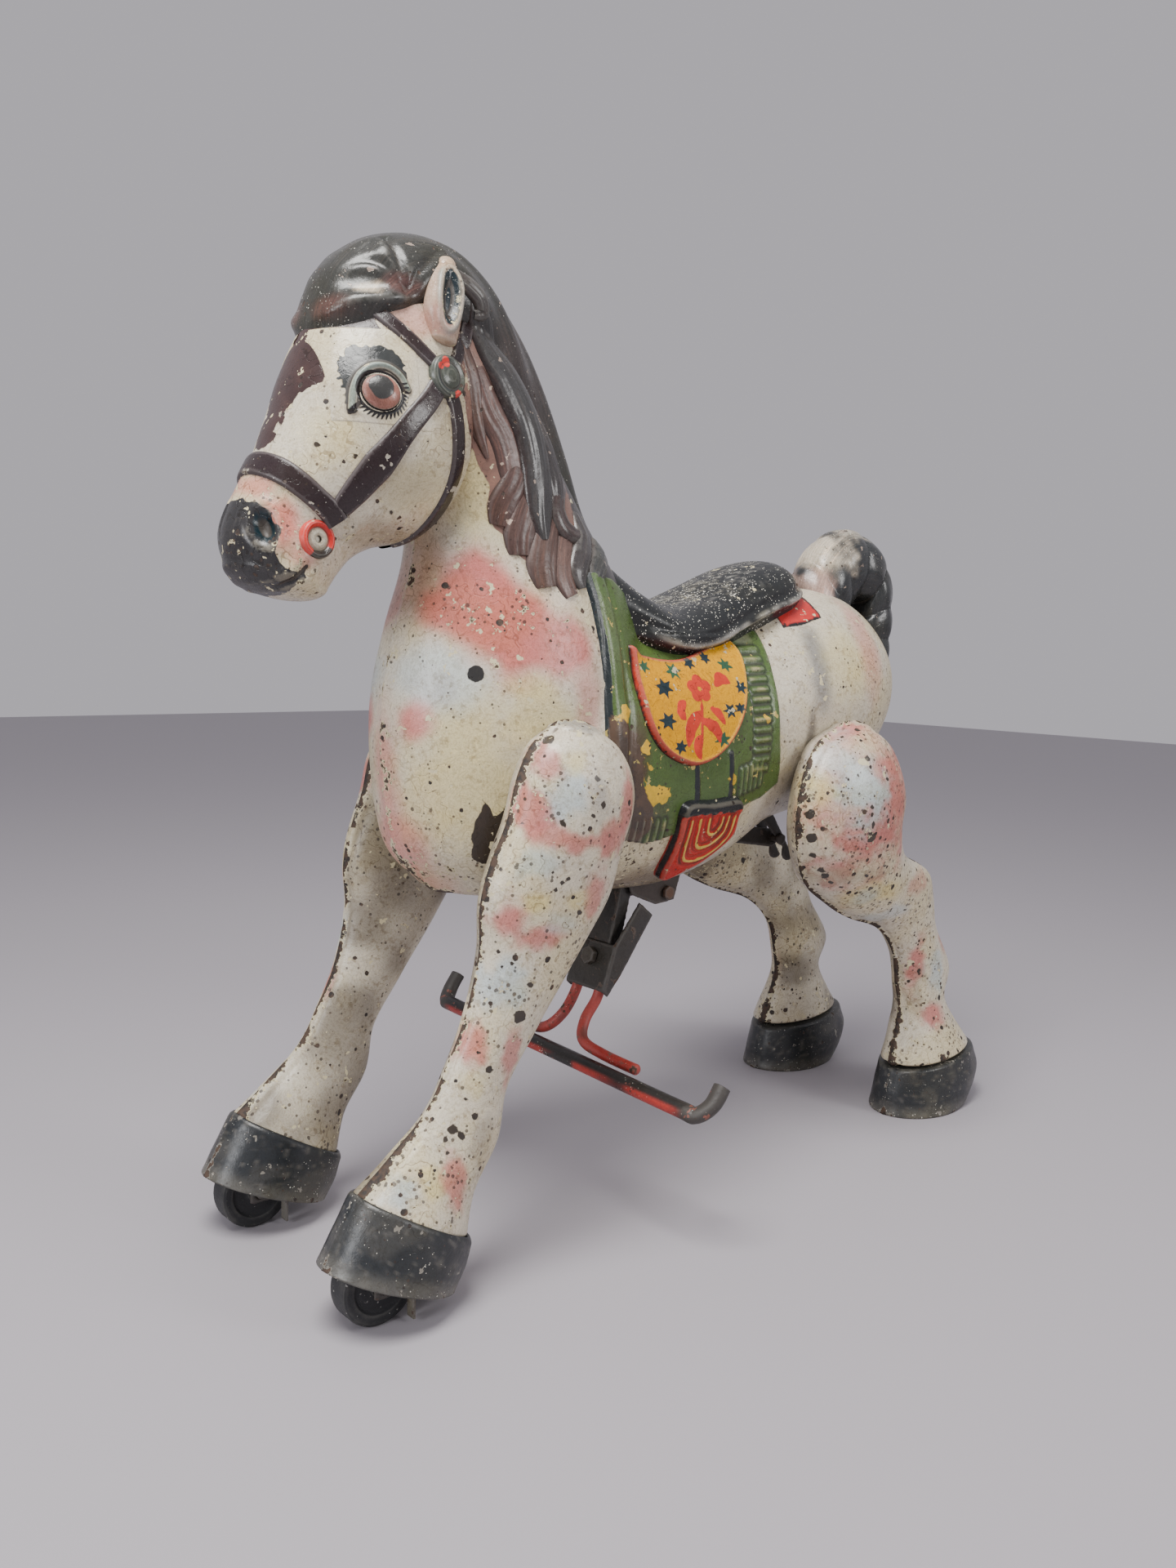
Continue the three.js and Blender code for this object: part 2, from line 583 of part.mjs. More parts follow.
for (const [side, sign] of [['left', 1], ['right', -1]]) {
  const turned = (geometry) => (sign > 0 ? geometry : mirrored(geometry));
  const besideBody = body.translate([0, sign * gap, 0]);
  const legs = [['front', frontLeg, frontHoof(0, 0)], ['rear', rearLeg, rearHoof]];
  for (const [end, legForm, hoofForm] of legs) {
    const topOfHoof = solid(turned(hoofForm)).translate([0, 0, 1.3 * gap]);
    add(`${end}_${side}_leg`, solid(turned(legForm)).subtract(besideBody).subtract(topOfHoof), cream);
  }

  const cup = solid(turned(frontHoof(0, 0))).subtract(solid(turned(frontHoof(hoofWall, hoofCrown))));
  add(`front_${side}_hoof`, cup, black);
  add(`rear_${side}_hoof`, turned(rearHoof), black);

  const { x } = wheelAt;
  const y = sign * wheelAt.y;
  const z = wheelRadius;
  const tyre = solid(crossBar(wheelRadius, wheelWidth, x, y, z, 28));
  const hub = solid(crossBar(axleRadius + axleRunning, 2 * wheelWidth, x, y, z, 12));
  add(`front_${side}_wheel`, tyre.subtract(hub), black);

  const cheek = wheelWidth / 2 + wheelRunning;
  const axleHalf = cheek + sheet + axleOverhang;
  const bridge = z + wheelRadius + wheelRunning;
  add(`front_${side}_axle`, crossBar(axleRadius, 2 * axleHalf, x, y, z, 12), iron);

  const inCup = solid(turned(frontHoof(hoofWall + gap, hoofCrown + gap)));
  const hole = solid(crossBar(axleRadius + gap, 2 * axleHalf, x, y, z, 12));
  const fork = join([
    box([x - forkHalf, y - cheek - sheet, z - forkHalf], [x + forkHalf, y - cheek, forkTop]),
    box([x - forkHalf, y + cheek, z - forkHalf], [x + forkHalf, y + cheek + sheet, forkTop]),
    box([x - forkHalf, y - cheek - sheet, bridge], [x + forkHalf, y + cheek + sheet, forkTop]),
  ]).intersect(inCup).subtract(hole);
  add(`front_${side}_fork`, fork, iron);

  const tab = box(
    [x - tabBack, y + tabOut - tabHalf, tabBottom],
    [x - tabBack + tabThickness, y + tabOut + tabHalf, tabTop]);
  add(`front_${side}_drag_tab`, tab, iron);

  add(`${side}_stirrup_rod`, solid(rod(sign)).subtract(solid(tread)).subtract(sleeve), red);

  const hangerFrom = sign > 0 ? hangerOut : -hangerOut - sheet;
  const holed = (shape, pin, radius) =>
    shape.subtract(solid(crossBar(radius + gap, 120, pin.x, 0, pin.z, 12)));
  add(`${side}_hanger`, clearOfBody(holed(
    solid(hanger(hangerFrom, hangerFrom + sheet)), linkBolt, linkBoltRadius)), iron);
  const bracketFrom = sign > 0 ? bracketOut : -bracketOut - sheet;
  add(`${side}_belly_bracket`, clearOfBody(holed(
    solid(plate(bracketOutline, bracketFrom, bracketFrom + sheet)), bracketBolt, boltRadius)), iron);
}

add('foot_bar', tread, iron);
add('sleeve', sleeve, iron);
add('sleeve_nut', nut, iron);
add('lever', clearOfBody(solid(plate(leverOutline, -leverWidth / 2, leverWidth / 2))
  .subtract(sleeve).subtract(sleeve.translate([-gap, 0, 0]))), iron);
add('belly_bolt', bolt(bracketBolt, boltRadius, bracketOut + sheet + gap, boltHead), iron);
add('link', clearOfBody(solid(plate(linkOutline, -linkHalf, linkHalf))
  .subtract(solid(crossBar(linkBoltRadius + gap, 40, linkBolt.x, 0, linkBolt.z, 12)))), iron);
add('link_bolt', bolt(linkBolt, linkBoltRadius, hangerOut + sheet + gap, boltHead), iron);

const outline = new THREE.Box3().setFromObject(pony);
pony.position.x = -(outline.min.x + outline.max.x) / 2;

export default pony;
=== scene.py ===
# A pressed-steel ride-on pony, worn by years of play: its body, legs and saddle in chipped
# enamel, with rubber wheels in the front hooves and an iron stirrup bar under the belly.

import math

import bmesh
import bpy
import numpy as np
from mathutils import Matrix, Vector
from mathutils.bvhtree import BVHTree


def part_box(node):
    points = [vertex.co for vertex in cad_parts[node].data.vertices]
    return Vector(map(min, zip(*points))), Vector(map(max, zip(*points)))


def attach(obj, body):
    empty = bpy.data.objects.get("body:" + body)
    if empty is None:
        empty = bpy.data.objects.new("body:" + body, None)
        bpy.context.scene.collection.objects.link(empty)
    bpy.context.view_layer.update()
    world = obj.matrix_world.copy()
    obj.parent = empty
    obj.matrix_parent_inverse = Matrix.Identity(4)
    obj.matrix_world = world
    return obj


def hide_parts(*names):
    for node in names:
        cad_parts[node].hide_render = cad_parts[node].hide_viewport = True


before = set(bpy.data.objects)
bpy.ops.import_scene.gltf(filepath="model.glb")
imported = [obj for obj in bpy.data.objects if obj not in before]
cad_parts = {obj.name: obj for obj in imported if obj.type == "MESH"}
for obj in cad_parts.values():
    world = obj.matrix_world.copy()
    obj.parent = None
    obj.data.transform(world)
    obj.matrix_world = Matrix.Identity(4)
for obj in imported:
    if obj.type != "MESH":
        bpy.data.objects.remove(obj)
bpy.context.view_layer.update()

# The camera stands low and to the left of the pony's nose, at the height of its withers, with
# the wide lens of a phone. Large soft lamps hang over a plain pale floor.
stand = Vector((0.751, 0.768, 0.460))
yaw, pitch, roll = math.radians(41.52), math.radians(6.55), math.radians(-1.5)
forward = Vector((-math.sin(yaw) * math.cos(pitch), -math.cos(yaw) * math.cos(pitch),
                  -math.sin(pitch)))
level = forward.cross(Vector((0, 0, 1))).normalized()
down = forward.cross(level)
right = math.cos(roll) * level + math.sin(roll) * down
up = math.sin(roll) * level - math.cos(roll) * down
lens = bpy.data.cameras.new("camera")
lens.sensor_width = 36
lens.lens = 28.16
camera = bpy.data.objects.new("camera", lens)
camera.matrix_world = Matrix.Translation(stand) @ Matrix((right, up, -forward)).transposed().to_4x4()
bpy.context.scene.collection.objects.link(camera)
bpy.context.scene.camera = camera


def lamp(name, place, aim, size, power, tint):
    light = bpy.data.lights.new(name, "AREA")
    light.shape = "DISK"
    light.size = size
    light.energy = power
    light.color = tint
    holder = bpy.data.objects.new(name, light)
    holder.location = place
    holder.rotation_euler = (Vector(aim) - Vector(place)).to_track_quat("-Z", "Y").to_euler()
    bpy.context.scene.collection.objects.link(holder)


lamp("overhead_lamp", (0.75, 0.35, 1.9), (0, 0, 0.35), 0.9, 48, (1.0, 0.985, 0.96))
lamp("front_lamp", (2.1, 0.2, 0.8), (0, 0, 0.35), 0.7, 16, (0.97, 0.98, 1.0))
lamp("side_lamp", (-0.8, 1.9, 1.1), (0, 0, 0.3), 0.8, 17, (1.0, 0.99, 0.98))
world = bpy.data.worlds.new("studio")
world.use_nodes = True
room_light = world.node_tree.nodes["Background"]
room_light.inputs["Color"].default_value = (0.84, 0.81, 0.87, 1)
room_light.inputs["Strength"].default_value = 0.58
bpy.context.scene.world = world

ground = bmesh.new()
bmesh.ops.create_grid(ground, x_segments=1, y_segments=1, size=6)
floor_mesh = bpy.data.meshes.new("floor")
ground.to_mesh(floor_mesh)
floor = bpy.data.objects.new("floor", floor_mesh)
bpy.context.scene.collection.objects.link(floor)
floor_paint = bpy.data.materials.new("pale_floor")
floor_paint.use_nodes = True
floor_shader = floor_paint.node_tree.nodes["Principled BSDF"]
floor_shader.inputs["Base Color"].default_value = (0.40, 0.375, 0.405, 1)
floor_shader.inputs["Roughness"].default_value = 0.6
floor_mesh.materials.append(floor_paint)

# The trunk: barrel and neck, two deep half shells of sheet steel welded along the spine and
# belly, sprayed cream with airbrushed pink, then chipped, stained and touched up. It is drawn in
# millimetres from a zero between the front hooves.
axle_back, wheel_out = 15, 90
wheel_low, wheel_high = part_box("front_left_wheel")
shift = (wheel_low[0] + wheel_high[0]) / 2 * 1000 + axle_back
cream = (0.62, 0.565, 0.445)
pink = (0.56, 0.165, 0.145)
straw = (0.64, 0.55, 0.265)
mist = (0.50, 0.57, 0.565)
soot = (0.012, 0.011, 0.012)


def spline(rows, p):
    """Smoothly interpolated rows of a table at the row numbers p."""
    last = len(rows) - 1
    i = np.clip(np.floor(p).astype(int), 0, last - 1)
    t = (p - i)[:, None]
    v0, v1, v2, v3 = (rows[np.clip(i + k, 0, last)] for k in (-1, 0, 1, 2))
    m1, m2 = (v2 - v0) / 2, (v3 - v1) / 2
    return ((2 * t**3 - 3 * t**2 + 1) * v1 + (t**3 - 2 * t**2 + t) * m1
            + (3 * t**2 - 2 * t**3) * v2 + (t**3 - t**2) * m2)


def curve(points, count=60):
    rows = np.array(points, float)
    return spline(rows, np.linspace(0, len(rows) - 1, count))


def pick(rows, share):
    """The values of evenly spaced rows at shares from 0 to 1 of the way through them."""
    rows = np.asarray(rows, float)
    steps = np.linspace(0, 1, len(rows))
    if rows.ndim == 1:
        return np.interp(share, steps, rows)
    return np.stack([np.interp(share, steps, column) for column in rows.T], 1)


def read(mesh, what="co"):
    values = np.empty(len(mesh.vertices) * 3)
    mesh.vertices.foreach_get(what, values)
    return values.reshape(-1, 3)


def move(mesh, points):
    mesh.vertices.foreach_set("co", np.ascontiguousarray(points).ravel())
    mesh.update()


def tag(mesh, name, values):
    """Stores a value, a vector or a colour at every vertex for the paint to read."""
    wide = values.ndim == 2
    attribute = mesh.attributes.new(name, "FLOAT_VECTOR" if wide else "FLOAT", "POINT")
    attribute.data.foreach_set("vector" if wide else "value", np.ascontiguousarray(values).ravel())


def tagged(mesh, name):
    """Reads a stored vector back."""
    values = np.empty(len(mesh.vertices) * 3)
    mesh.attributes[name].data.foreach_get("vector", values)
    return values.reshape(-1, 3)


def sheet_of_quads(name, wide, long):
    """A flat grid with its corners at 0 and 1."""
    bm = bmesh.new()
    bmesh.ops.create_grid(bm, x_segments=wide, y_segments=long, size=0.5)
    bmesh.ops.translate(bm, vec=(0.5, 0.5, 0), verts=bm.verts)
    mesh = bpy.data.meshes.new(name)
    bm.to_mesh(mesh)
    bm.free()
    return mesh


def closed(mesh):
    """Merges a wrapped grid's seam and poles and turns its faces outwards."""
    bm = bmesh.new()
    bm.from_mesh(mesh)
    bmesh.ops.remove_doubles(bm, verts=bm.verts, dist=0.01)
    bmesh.ops.holes_fill(bm, edges=bm.edges)
    bmesh.ops.recalc_face_normals(bm, faces=bm.faces)
    bm.to_mesh(mesh)
    bm.free()
    return mesh


def swept(name, stations, rings, sides, start=0.0, end=0.0):
    """A closed form through stations of ((x, z), (x, z), half width, middle y, squareness)."""
    rows = np.array([[*a, *b, *rest, *(0, 2.0)[len(rest) - 1:]] for a, b, *rest in stations], float)
    steps = np.linspace(0, len(rows) - 1, 600)
    fine = spline(rows, steps)
    middle = np.stack([(fine[:, 0] + fine[:, 2]) / 2, fine[:, 5], (fine[:, 1] + fine[:, 3]) / 2], 1)
    length = np.concatenate([[0], np.cumsum(np.linalg.norm(np.diff(middle, axis=0), axis=1))])
    reach = [0.8 * (r[4] + math.hypot(r[0] - r[2], r[1] - r[3]) / 2) if cap else 0
             for r, cap in ((rows[0], start), (rows[-1], end))]
    mesh = sheet_of_quads(name, sides, rings)
    co = read(mesh)
    angle = co[:, 0] * 2 * math.pi
    s = co[:, 1] * (reach[0] + length[-1] + reach[1]) - reach[0]
    r = spline(rows, np.interp(s, length, steps))
    turn = np.zeros(len(s))
    bulge = np.zeros((len(s), 3))
    for mask, over, size, out in (
            (s < 0, -s / max(reach[0], 1), start, middle[0] - middle[3]),
            (s > length[-1], (s - length[-1]) / max(reach[1], 1), end, middle[-1] - middle[-4])):
        turn[mask] = np.clip(over[mask], 0, 1) * math.pi / 2
        bulge[mask] = (size * np.sin(turn[mask]))[:, None] * out / np.linalg.norm(out)

    def squared(wave):
        return np.sign(wave) * np.abs(wave) ** (2 / r[:, 6])

    over = squared(np.cos(angle)) * np.cos(turn)
    out = squared(np.sin(angle)) * np.cos(turn)
    points = np.stack([
        (r[:, 0] + r[:, 2]) / 2 + (r[:, 0] - r[:, 2]) / 2 * over,
        r[:, 5] + r[:, 4] * out,
        (r[:, 1] + r[:, 3]) / 2 + (r[:, 1] - r[:, 3]) / 2 * over], 1) + bulge
    move(mesh, points)
    share = np.abs((angle + math.pi) % (2 * math.pi) - math.pi) / math.pi
    tag(mesh, "strand", np.stack([share * math.pi * r[:, 4], s, share * 3], 1))
    return closed(mesh)


def edge_ends(mesh):
    ends = np.empty(len(mesh.edges) * 2, int)
    mesh.edges.foreach_get("vertices", ends)
    return ends.reshape(-1, 2).T


def neighbours(mesh, values):
    """The mean of each vertex's neighbours."""
    a, b = edge_ends(mesh)
    count = np.bincount(np.concatenate([a, b]), minlength=len(values))
    total = [np.bincount(np.concatenate([a, b]), np.concatenate([v[b], v[a]]), len(v))
             for v in values.T]
    return np.stack(total, 1) / np.maximum(count, 1)[:, None]


def relax(mesh, times, share=0.5):
    points = read(mesh)
    for _ in range(times):
        points = points + (neighbours(mesh, points) - points) * share
    move(mesh, points)


def fused(name, meshes, voxel, times):
    """One skin round several forms, its joins smoothed."""
    bm = bmesh.new()
    for mesh in meshes:
        bm.from_mesh(mesh)
    lump = bpy.data.meshes.new(name)
    bm.to_mesh(lump)
    bm.free()
    holder = bpy.data.objects.new(name, lump)
    bpy.context.scene.collection.objects.link(holder)
    modifier = holder.modifiers.new("skin", "REMESH")
    modifier.mode = "VOXEL"
    modifier.voxel_size = voxel
    skin = bpy.data.meshes.new_from_object(holder.evaluated_get(bpy.context.evaluated_depsgraph_get()))
    bpy.data.objects.remove(holder)
    relax(skin, times)
    return skin


def skin_of(mesh):
    """The points and faces of a mesh, to lay other pieces on."""
    return read(mesh).tolist(), [list(p.vertices) for p in mesh.polygons]


def surface_of(*skins):
    points, faces = [], []
    for some_points, some_faces in skins:
        faces += [[v + len(points) for v in face] for face in some_faces]
        points += some_points
    return BVHTree.FromPolygons(points, faces)


def ease(value, start, end):
    """0 at start, 1 at end, smooth between them."""
    t = np.clip((value - start) / (end - start), 0, 1)
    return t * t * (3 - 2 * t)


def bell(distance, width, power=2):
    """1 where the distance is 0, fading to nothing beyond the width."""
    return np.exp(-(distance / width) ** power)


def gap(points, place, size=1):
    """Distance from each point to a place, in units of a size where one is given."""
    return np.linalg.norm((points - np.array(place)) / size, axis=1)


def clouds(points, size, seed=0):
    """Soft noise from 0 to 1 in patches of about size millimetres."""
    q = points / size + seed * 17.3
    cell = np.floor(q).astype(np.int64)
    f = q - cell
    f = f * f * (3 - 2 * f)
    total = np.zeros(len(points))
    # Each corner of a cell has a value of its own, hashed from its three whole numbers
    for corner in np.ndindex(2, 2, 2):
        c = cell + corner
        h = (c[:, 0] * 73856093 ^ c[:, 1] * 19349663 ^ c[:, 2] * 83492791) & 0xFFFF
        h = (h * (h * h * 15731 + 789221) + 1376312589) & 0x7FFFFFFF
        total += h / 0x7FFFFFFF * np.prod(np.where(corner, f, 1 - f), axis=1)
    return total


def path_distance(points, path):
    """Distance from each point to a path of points, and how far along the path, 0 to 1."""
    best = np.full(len(points), 1e9)
    along = np.zeros(len(points))
    for k, (a, b) in enumerate(zip(path[:-1], path[1:])):
        d = b - a
        t = np.clip((points - a) @ d / max(d @ d, 1e-9), 0, 1)
        away = np.linalg.norm(points - a - t[:, None] * d, axis=1)
        near = away < best
        best[near] = away[near]
        along[near] = (k + t[near]) / (len(path) - 1)
    return best, along


def nearest(points, *paths):
    """Distance from each point to the nearest of some paths."""
    return np.min([path_distance(points, np.array(path, float))[0] for path in paths], axis=0)


def outline_distance(points, outline):
    """Distance in the side view to a closed outline, negative inside it."""
    outline = np.asarray(outline, float)
    best = np.full(len(points), 1e9)
    inside = np.zeros(len(points), bool)
    for a, b in zip(outline, np.roll(outline, -1, 0)):
        d = b - a
        t = np.clip((points - a) @ d / max(d @ d, 1e-9), 0, 1)
        best = np.minimum(best, np.linalg.norm(points - a - t[:, None] * d, axis=1))
        crossed = (a[1] > points[:, 1]) != (b[1] > points[:, 1])
        x = a[0] + (points[:, 1] - a[1]) * d[0] / (d[1] if d[1] else 1e-9)
        inside ^= crossed & (points[:, 0] < x)
    return np.where(inside, -best, best)


def rounded(outline, count=120):
    """A closed outline drawn smoothly through its points."""
    rows = np.array([*outline[-2:], *outline, *outline[:3]], float)
    return spline(rows, np.linspace(2, len(outline) + 2, count, endpoint=False))


class Coat:
    """The paint on one piece: soft sprayed ground colours, then masked shapes with crisp edges."""

    unmarked = 40.0

    def __init__(self, mesh, colour):
        self.mesh = mesh
        self.points = read(mesh)
        self.side = self.points[:, [0, 2]]
        self.flank = self.points * (1, 0, 1) + np.abs(self.points) * (0, 1, 0)
        self.ground = np.tile(np.array(colour, float), (len(self.points), 1))
        self.ink = np.full(len(self.points), self.unmarked)
        self.ink_paint = np.tile(np.array(soot, float), (len(self.points), 1))
        self.wear = np.zeros(len(self.points))

    def spray(self, amount, colour):
        amount = np.clip(amount, 0, 1)[:, None]
        self.ground = self.ground * (1 - amount) + np.array(colour) * amount

    def fray(self, size, seed, reach):
        """Soft noise of up to half the reach either way."""
        return (clouds(self.points, size, seed) - 0.5) * reach

    def blotch(self, size, seed, start, end):
        """Soft noise, 0 where it is below start and 1 above end."""
        return ease(clouds(self.points, size, seed), start, end)

    def within(self, outline):
        return outline_distance(self.side, outline)

    def puff(self, place, size, colour, strength=1.0, ragged=0.35):
        """A sprayed patch round a point (x, y, z) on either flank."""
        away = gap(self.flank, place, size)
        away += self.fray(18, 3, ragged) + self.fray(6, 4, ragged / 2)
        self.spray(strength * (1 - ease(away, 0.35, 1.25)), colour)

    def haze(self, distance, soft, colour, strength=1.0):
        """A sprayed patch with a soft edge, inside where the distance is negative."""
        away = distance + self.fray(15, 5, soft * 1.1)
        self.spray(strength * (1 - ease(away, -soft, soft)), colour)

    def mark(self, distance, colour):
        nearer = distance < self.ink
        self.ink = np.minimum(distance, self.ink)
        self.ink_paint[nearer] = colour

    def lift(self, height):
        """Raises the surface by so many millimetres along its normals."""
        move(self.mesh, read(self.mesh) + read(self.mesh, "normal") * height[:, None])

    def done(self):
        tag(self.mesh, "ground", self.ground)
        tag(self.mesh, "ink", self.ink)
        tag(self.mesh, "ink_paint", self.ink_paint)
        tag(self.mesh, "wear", self.wear)
        sharpness(self.mesh)


def sharpness(mesh):
    """Stores how convex the surface is, about 1 on an edge of 3 mm radius, negative in a groove."""
    points = read(mesh)
    normal = read(mesh, "normal")
    offset = neighbours(mesh, points) - points
    a, b = edge_ends(mesh)
    step = np.linalg.norm(points[a] - points[b], axis=1)
    mean = (np.bincount(a, step, len(points)) + np.bincount(b, step, len(points))) / np.maximum(
        np.bincount(a, minlength=len(points)) + np.bincount(b, minlength=len(points)), 1)
    bend = -np.einsum("ij,ij->i", offset, normal) * 2 / np.maximum(mean, 0.05) ** 2
    value = np.clip(bend * 6, -2, 2)[:, None]
    for _ in range(3):
        value = value * 0.4 + neighbours(mesh, value) * 0.6
    tag(mesh, "edge", np.clip(value[:, 0], -1, 1))


def placed(name, mesh, material, body="pony", nodes=()):
    """The finished piece, turned from drawing millimetres into the frame's metres."""
    move(mesh, (read(mesh) + (shift, 0, 0)) / 1000)
    mesh.shade_smooth()
    mesh.materials.clear()
    mesh.materials.append(material)
    piece = bpy.data.objects.new(name, mesh)
    bpy.context.scene.collection.objects.link(piece)
    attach(piece, body)
    if nodes:
        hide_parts(*nodes)
    return piece


def both_sides(name, mesh, material, node=None):
    """A piece drawn on the left side and its copy on the right, named with {} for the side."""
    other = mesh.copy()
    move(other, read(mesh) * (1, -1, 1))
    other.flip_normals()
    return [placed(name.format(side), half, material, nodes=[node.format(side)] if node else [])
            for side, half in (("right", other), ("left", mesh))]


class Field:
    """A socket in a material, so that shader sums are written as plain expressions."""

    def __init__(self, finish, socket):
        self.finish = finish
        self.socket = socket

    def sum(self, operation, *others):
        return self.finish.node("ShaderNodeMath", {"operation": operation},
                                dict(enumerate((self, *others))))

    def __add__(self, other):
        return self.sum("ADD", other)

    def __sub__(self, other):
        return self.sum("SUBTRACT", other)

    def __rsub__(self, other):
        return self.finish.node("ShaderNodeMath", {"operation": "SUBTRACT"}, {0: other, 1: self})

    def __mul__(self, other):
        return self.sum("MULTIPLY", other)

    def top(self, other):
        return self.sum("MAXIMUM", other)

    def step(self, start, end):
        """0 at start, 1 at end, smooth between them."""
        return self.finish.node("ShaderNodeMapRange", {"interpolation_type": "SMOOTHSTEP"},
                                {"Value": self, "From Min": start, "From Max": end})


class Finish:
    """A material and its nodes."""

    def __init__(self, name):
        self.material = bpy.data.materials.new(name)
        self.material.use_nodes = True
        self.tree = self.material.node_tree
        self.shader = self.tree.nodes["Principled BSDF"]
        self.place = self.node("ShaderNodeTexCoord", out="Object")

    def node(self, kind, settings=None, values=None, out=0):
        node = self.tree.nodes.new(kind)
        for name, value in (settings or {}).items():
            setattr(node, name, value)
        for name, value in (values or {}).items():
            self.feed(node.inputs[name], value)
        return Field(self, node.outputs[out])

    def feed(self, socket, value):
        if isinstance(value, Field):
            self.tree.links.new(value.socket, socket)
        elif isinstance(value, tuple) and len(value) == 3 and socket.type == "RGBA":
            socket.default_value = (*value, 1)
        else:
            socket.default_value = value

    def noise(self, scale, detail=2.0, rough=0.5, where=None, out=0):
        return self.node("ShaderNodeTexNoise", {}, {
            "Vector": where or self.place, "Scale": scale, "Detail": detail, "Roughness": rough,
        }, out)

    def blend(self, share, first, second, way="MIX"):
        mix = self.tree.nodes.new("ShaderNodeMix")
        mix.data_type = "RGBA"
        mix.blend_type = way
        self.feed(mix.inputs[0], share)
        self.feed(mix.inputs[6], first)
        self.feed(mix.inputs[7], second)
        return Field(self, mix.outputs[2])

    def stored(self, name, out="Fac"):
        return self.node("ShaderNodeAttribute", {"attribute_name": name}, out=out)

    def dress(self, colour, rough, height, depth, metal=0.0):
        self.feed(self.shader.inputs["Base Color"], colour)
        self.feed(self.shader.inputs["Roughness"], rough)
        self.feed(self.shader.inputs["Metallic"], metal)
        bump = self.node("ShaderNodeBump", {}, {"Height": height, "Distance": depth, "Strength": 1.0})
        self.feed(self.shader.inputs["Normal"], bump)
        return self.material


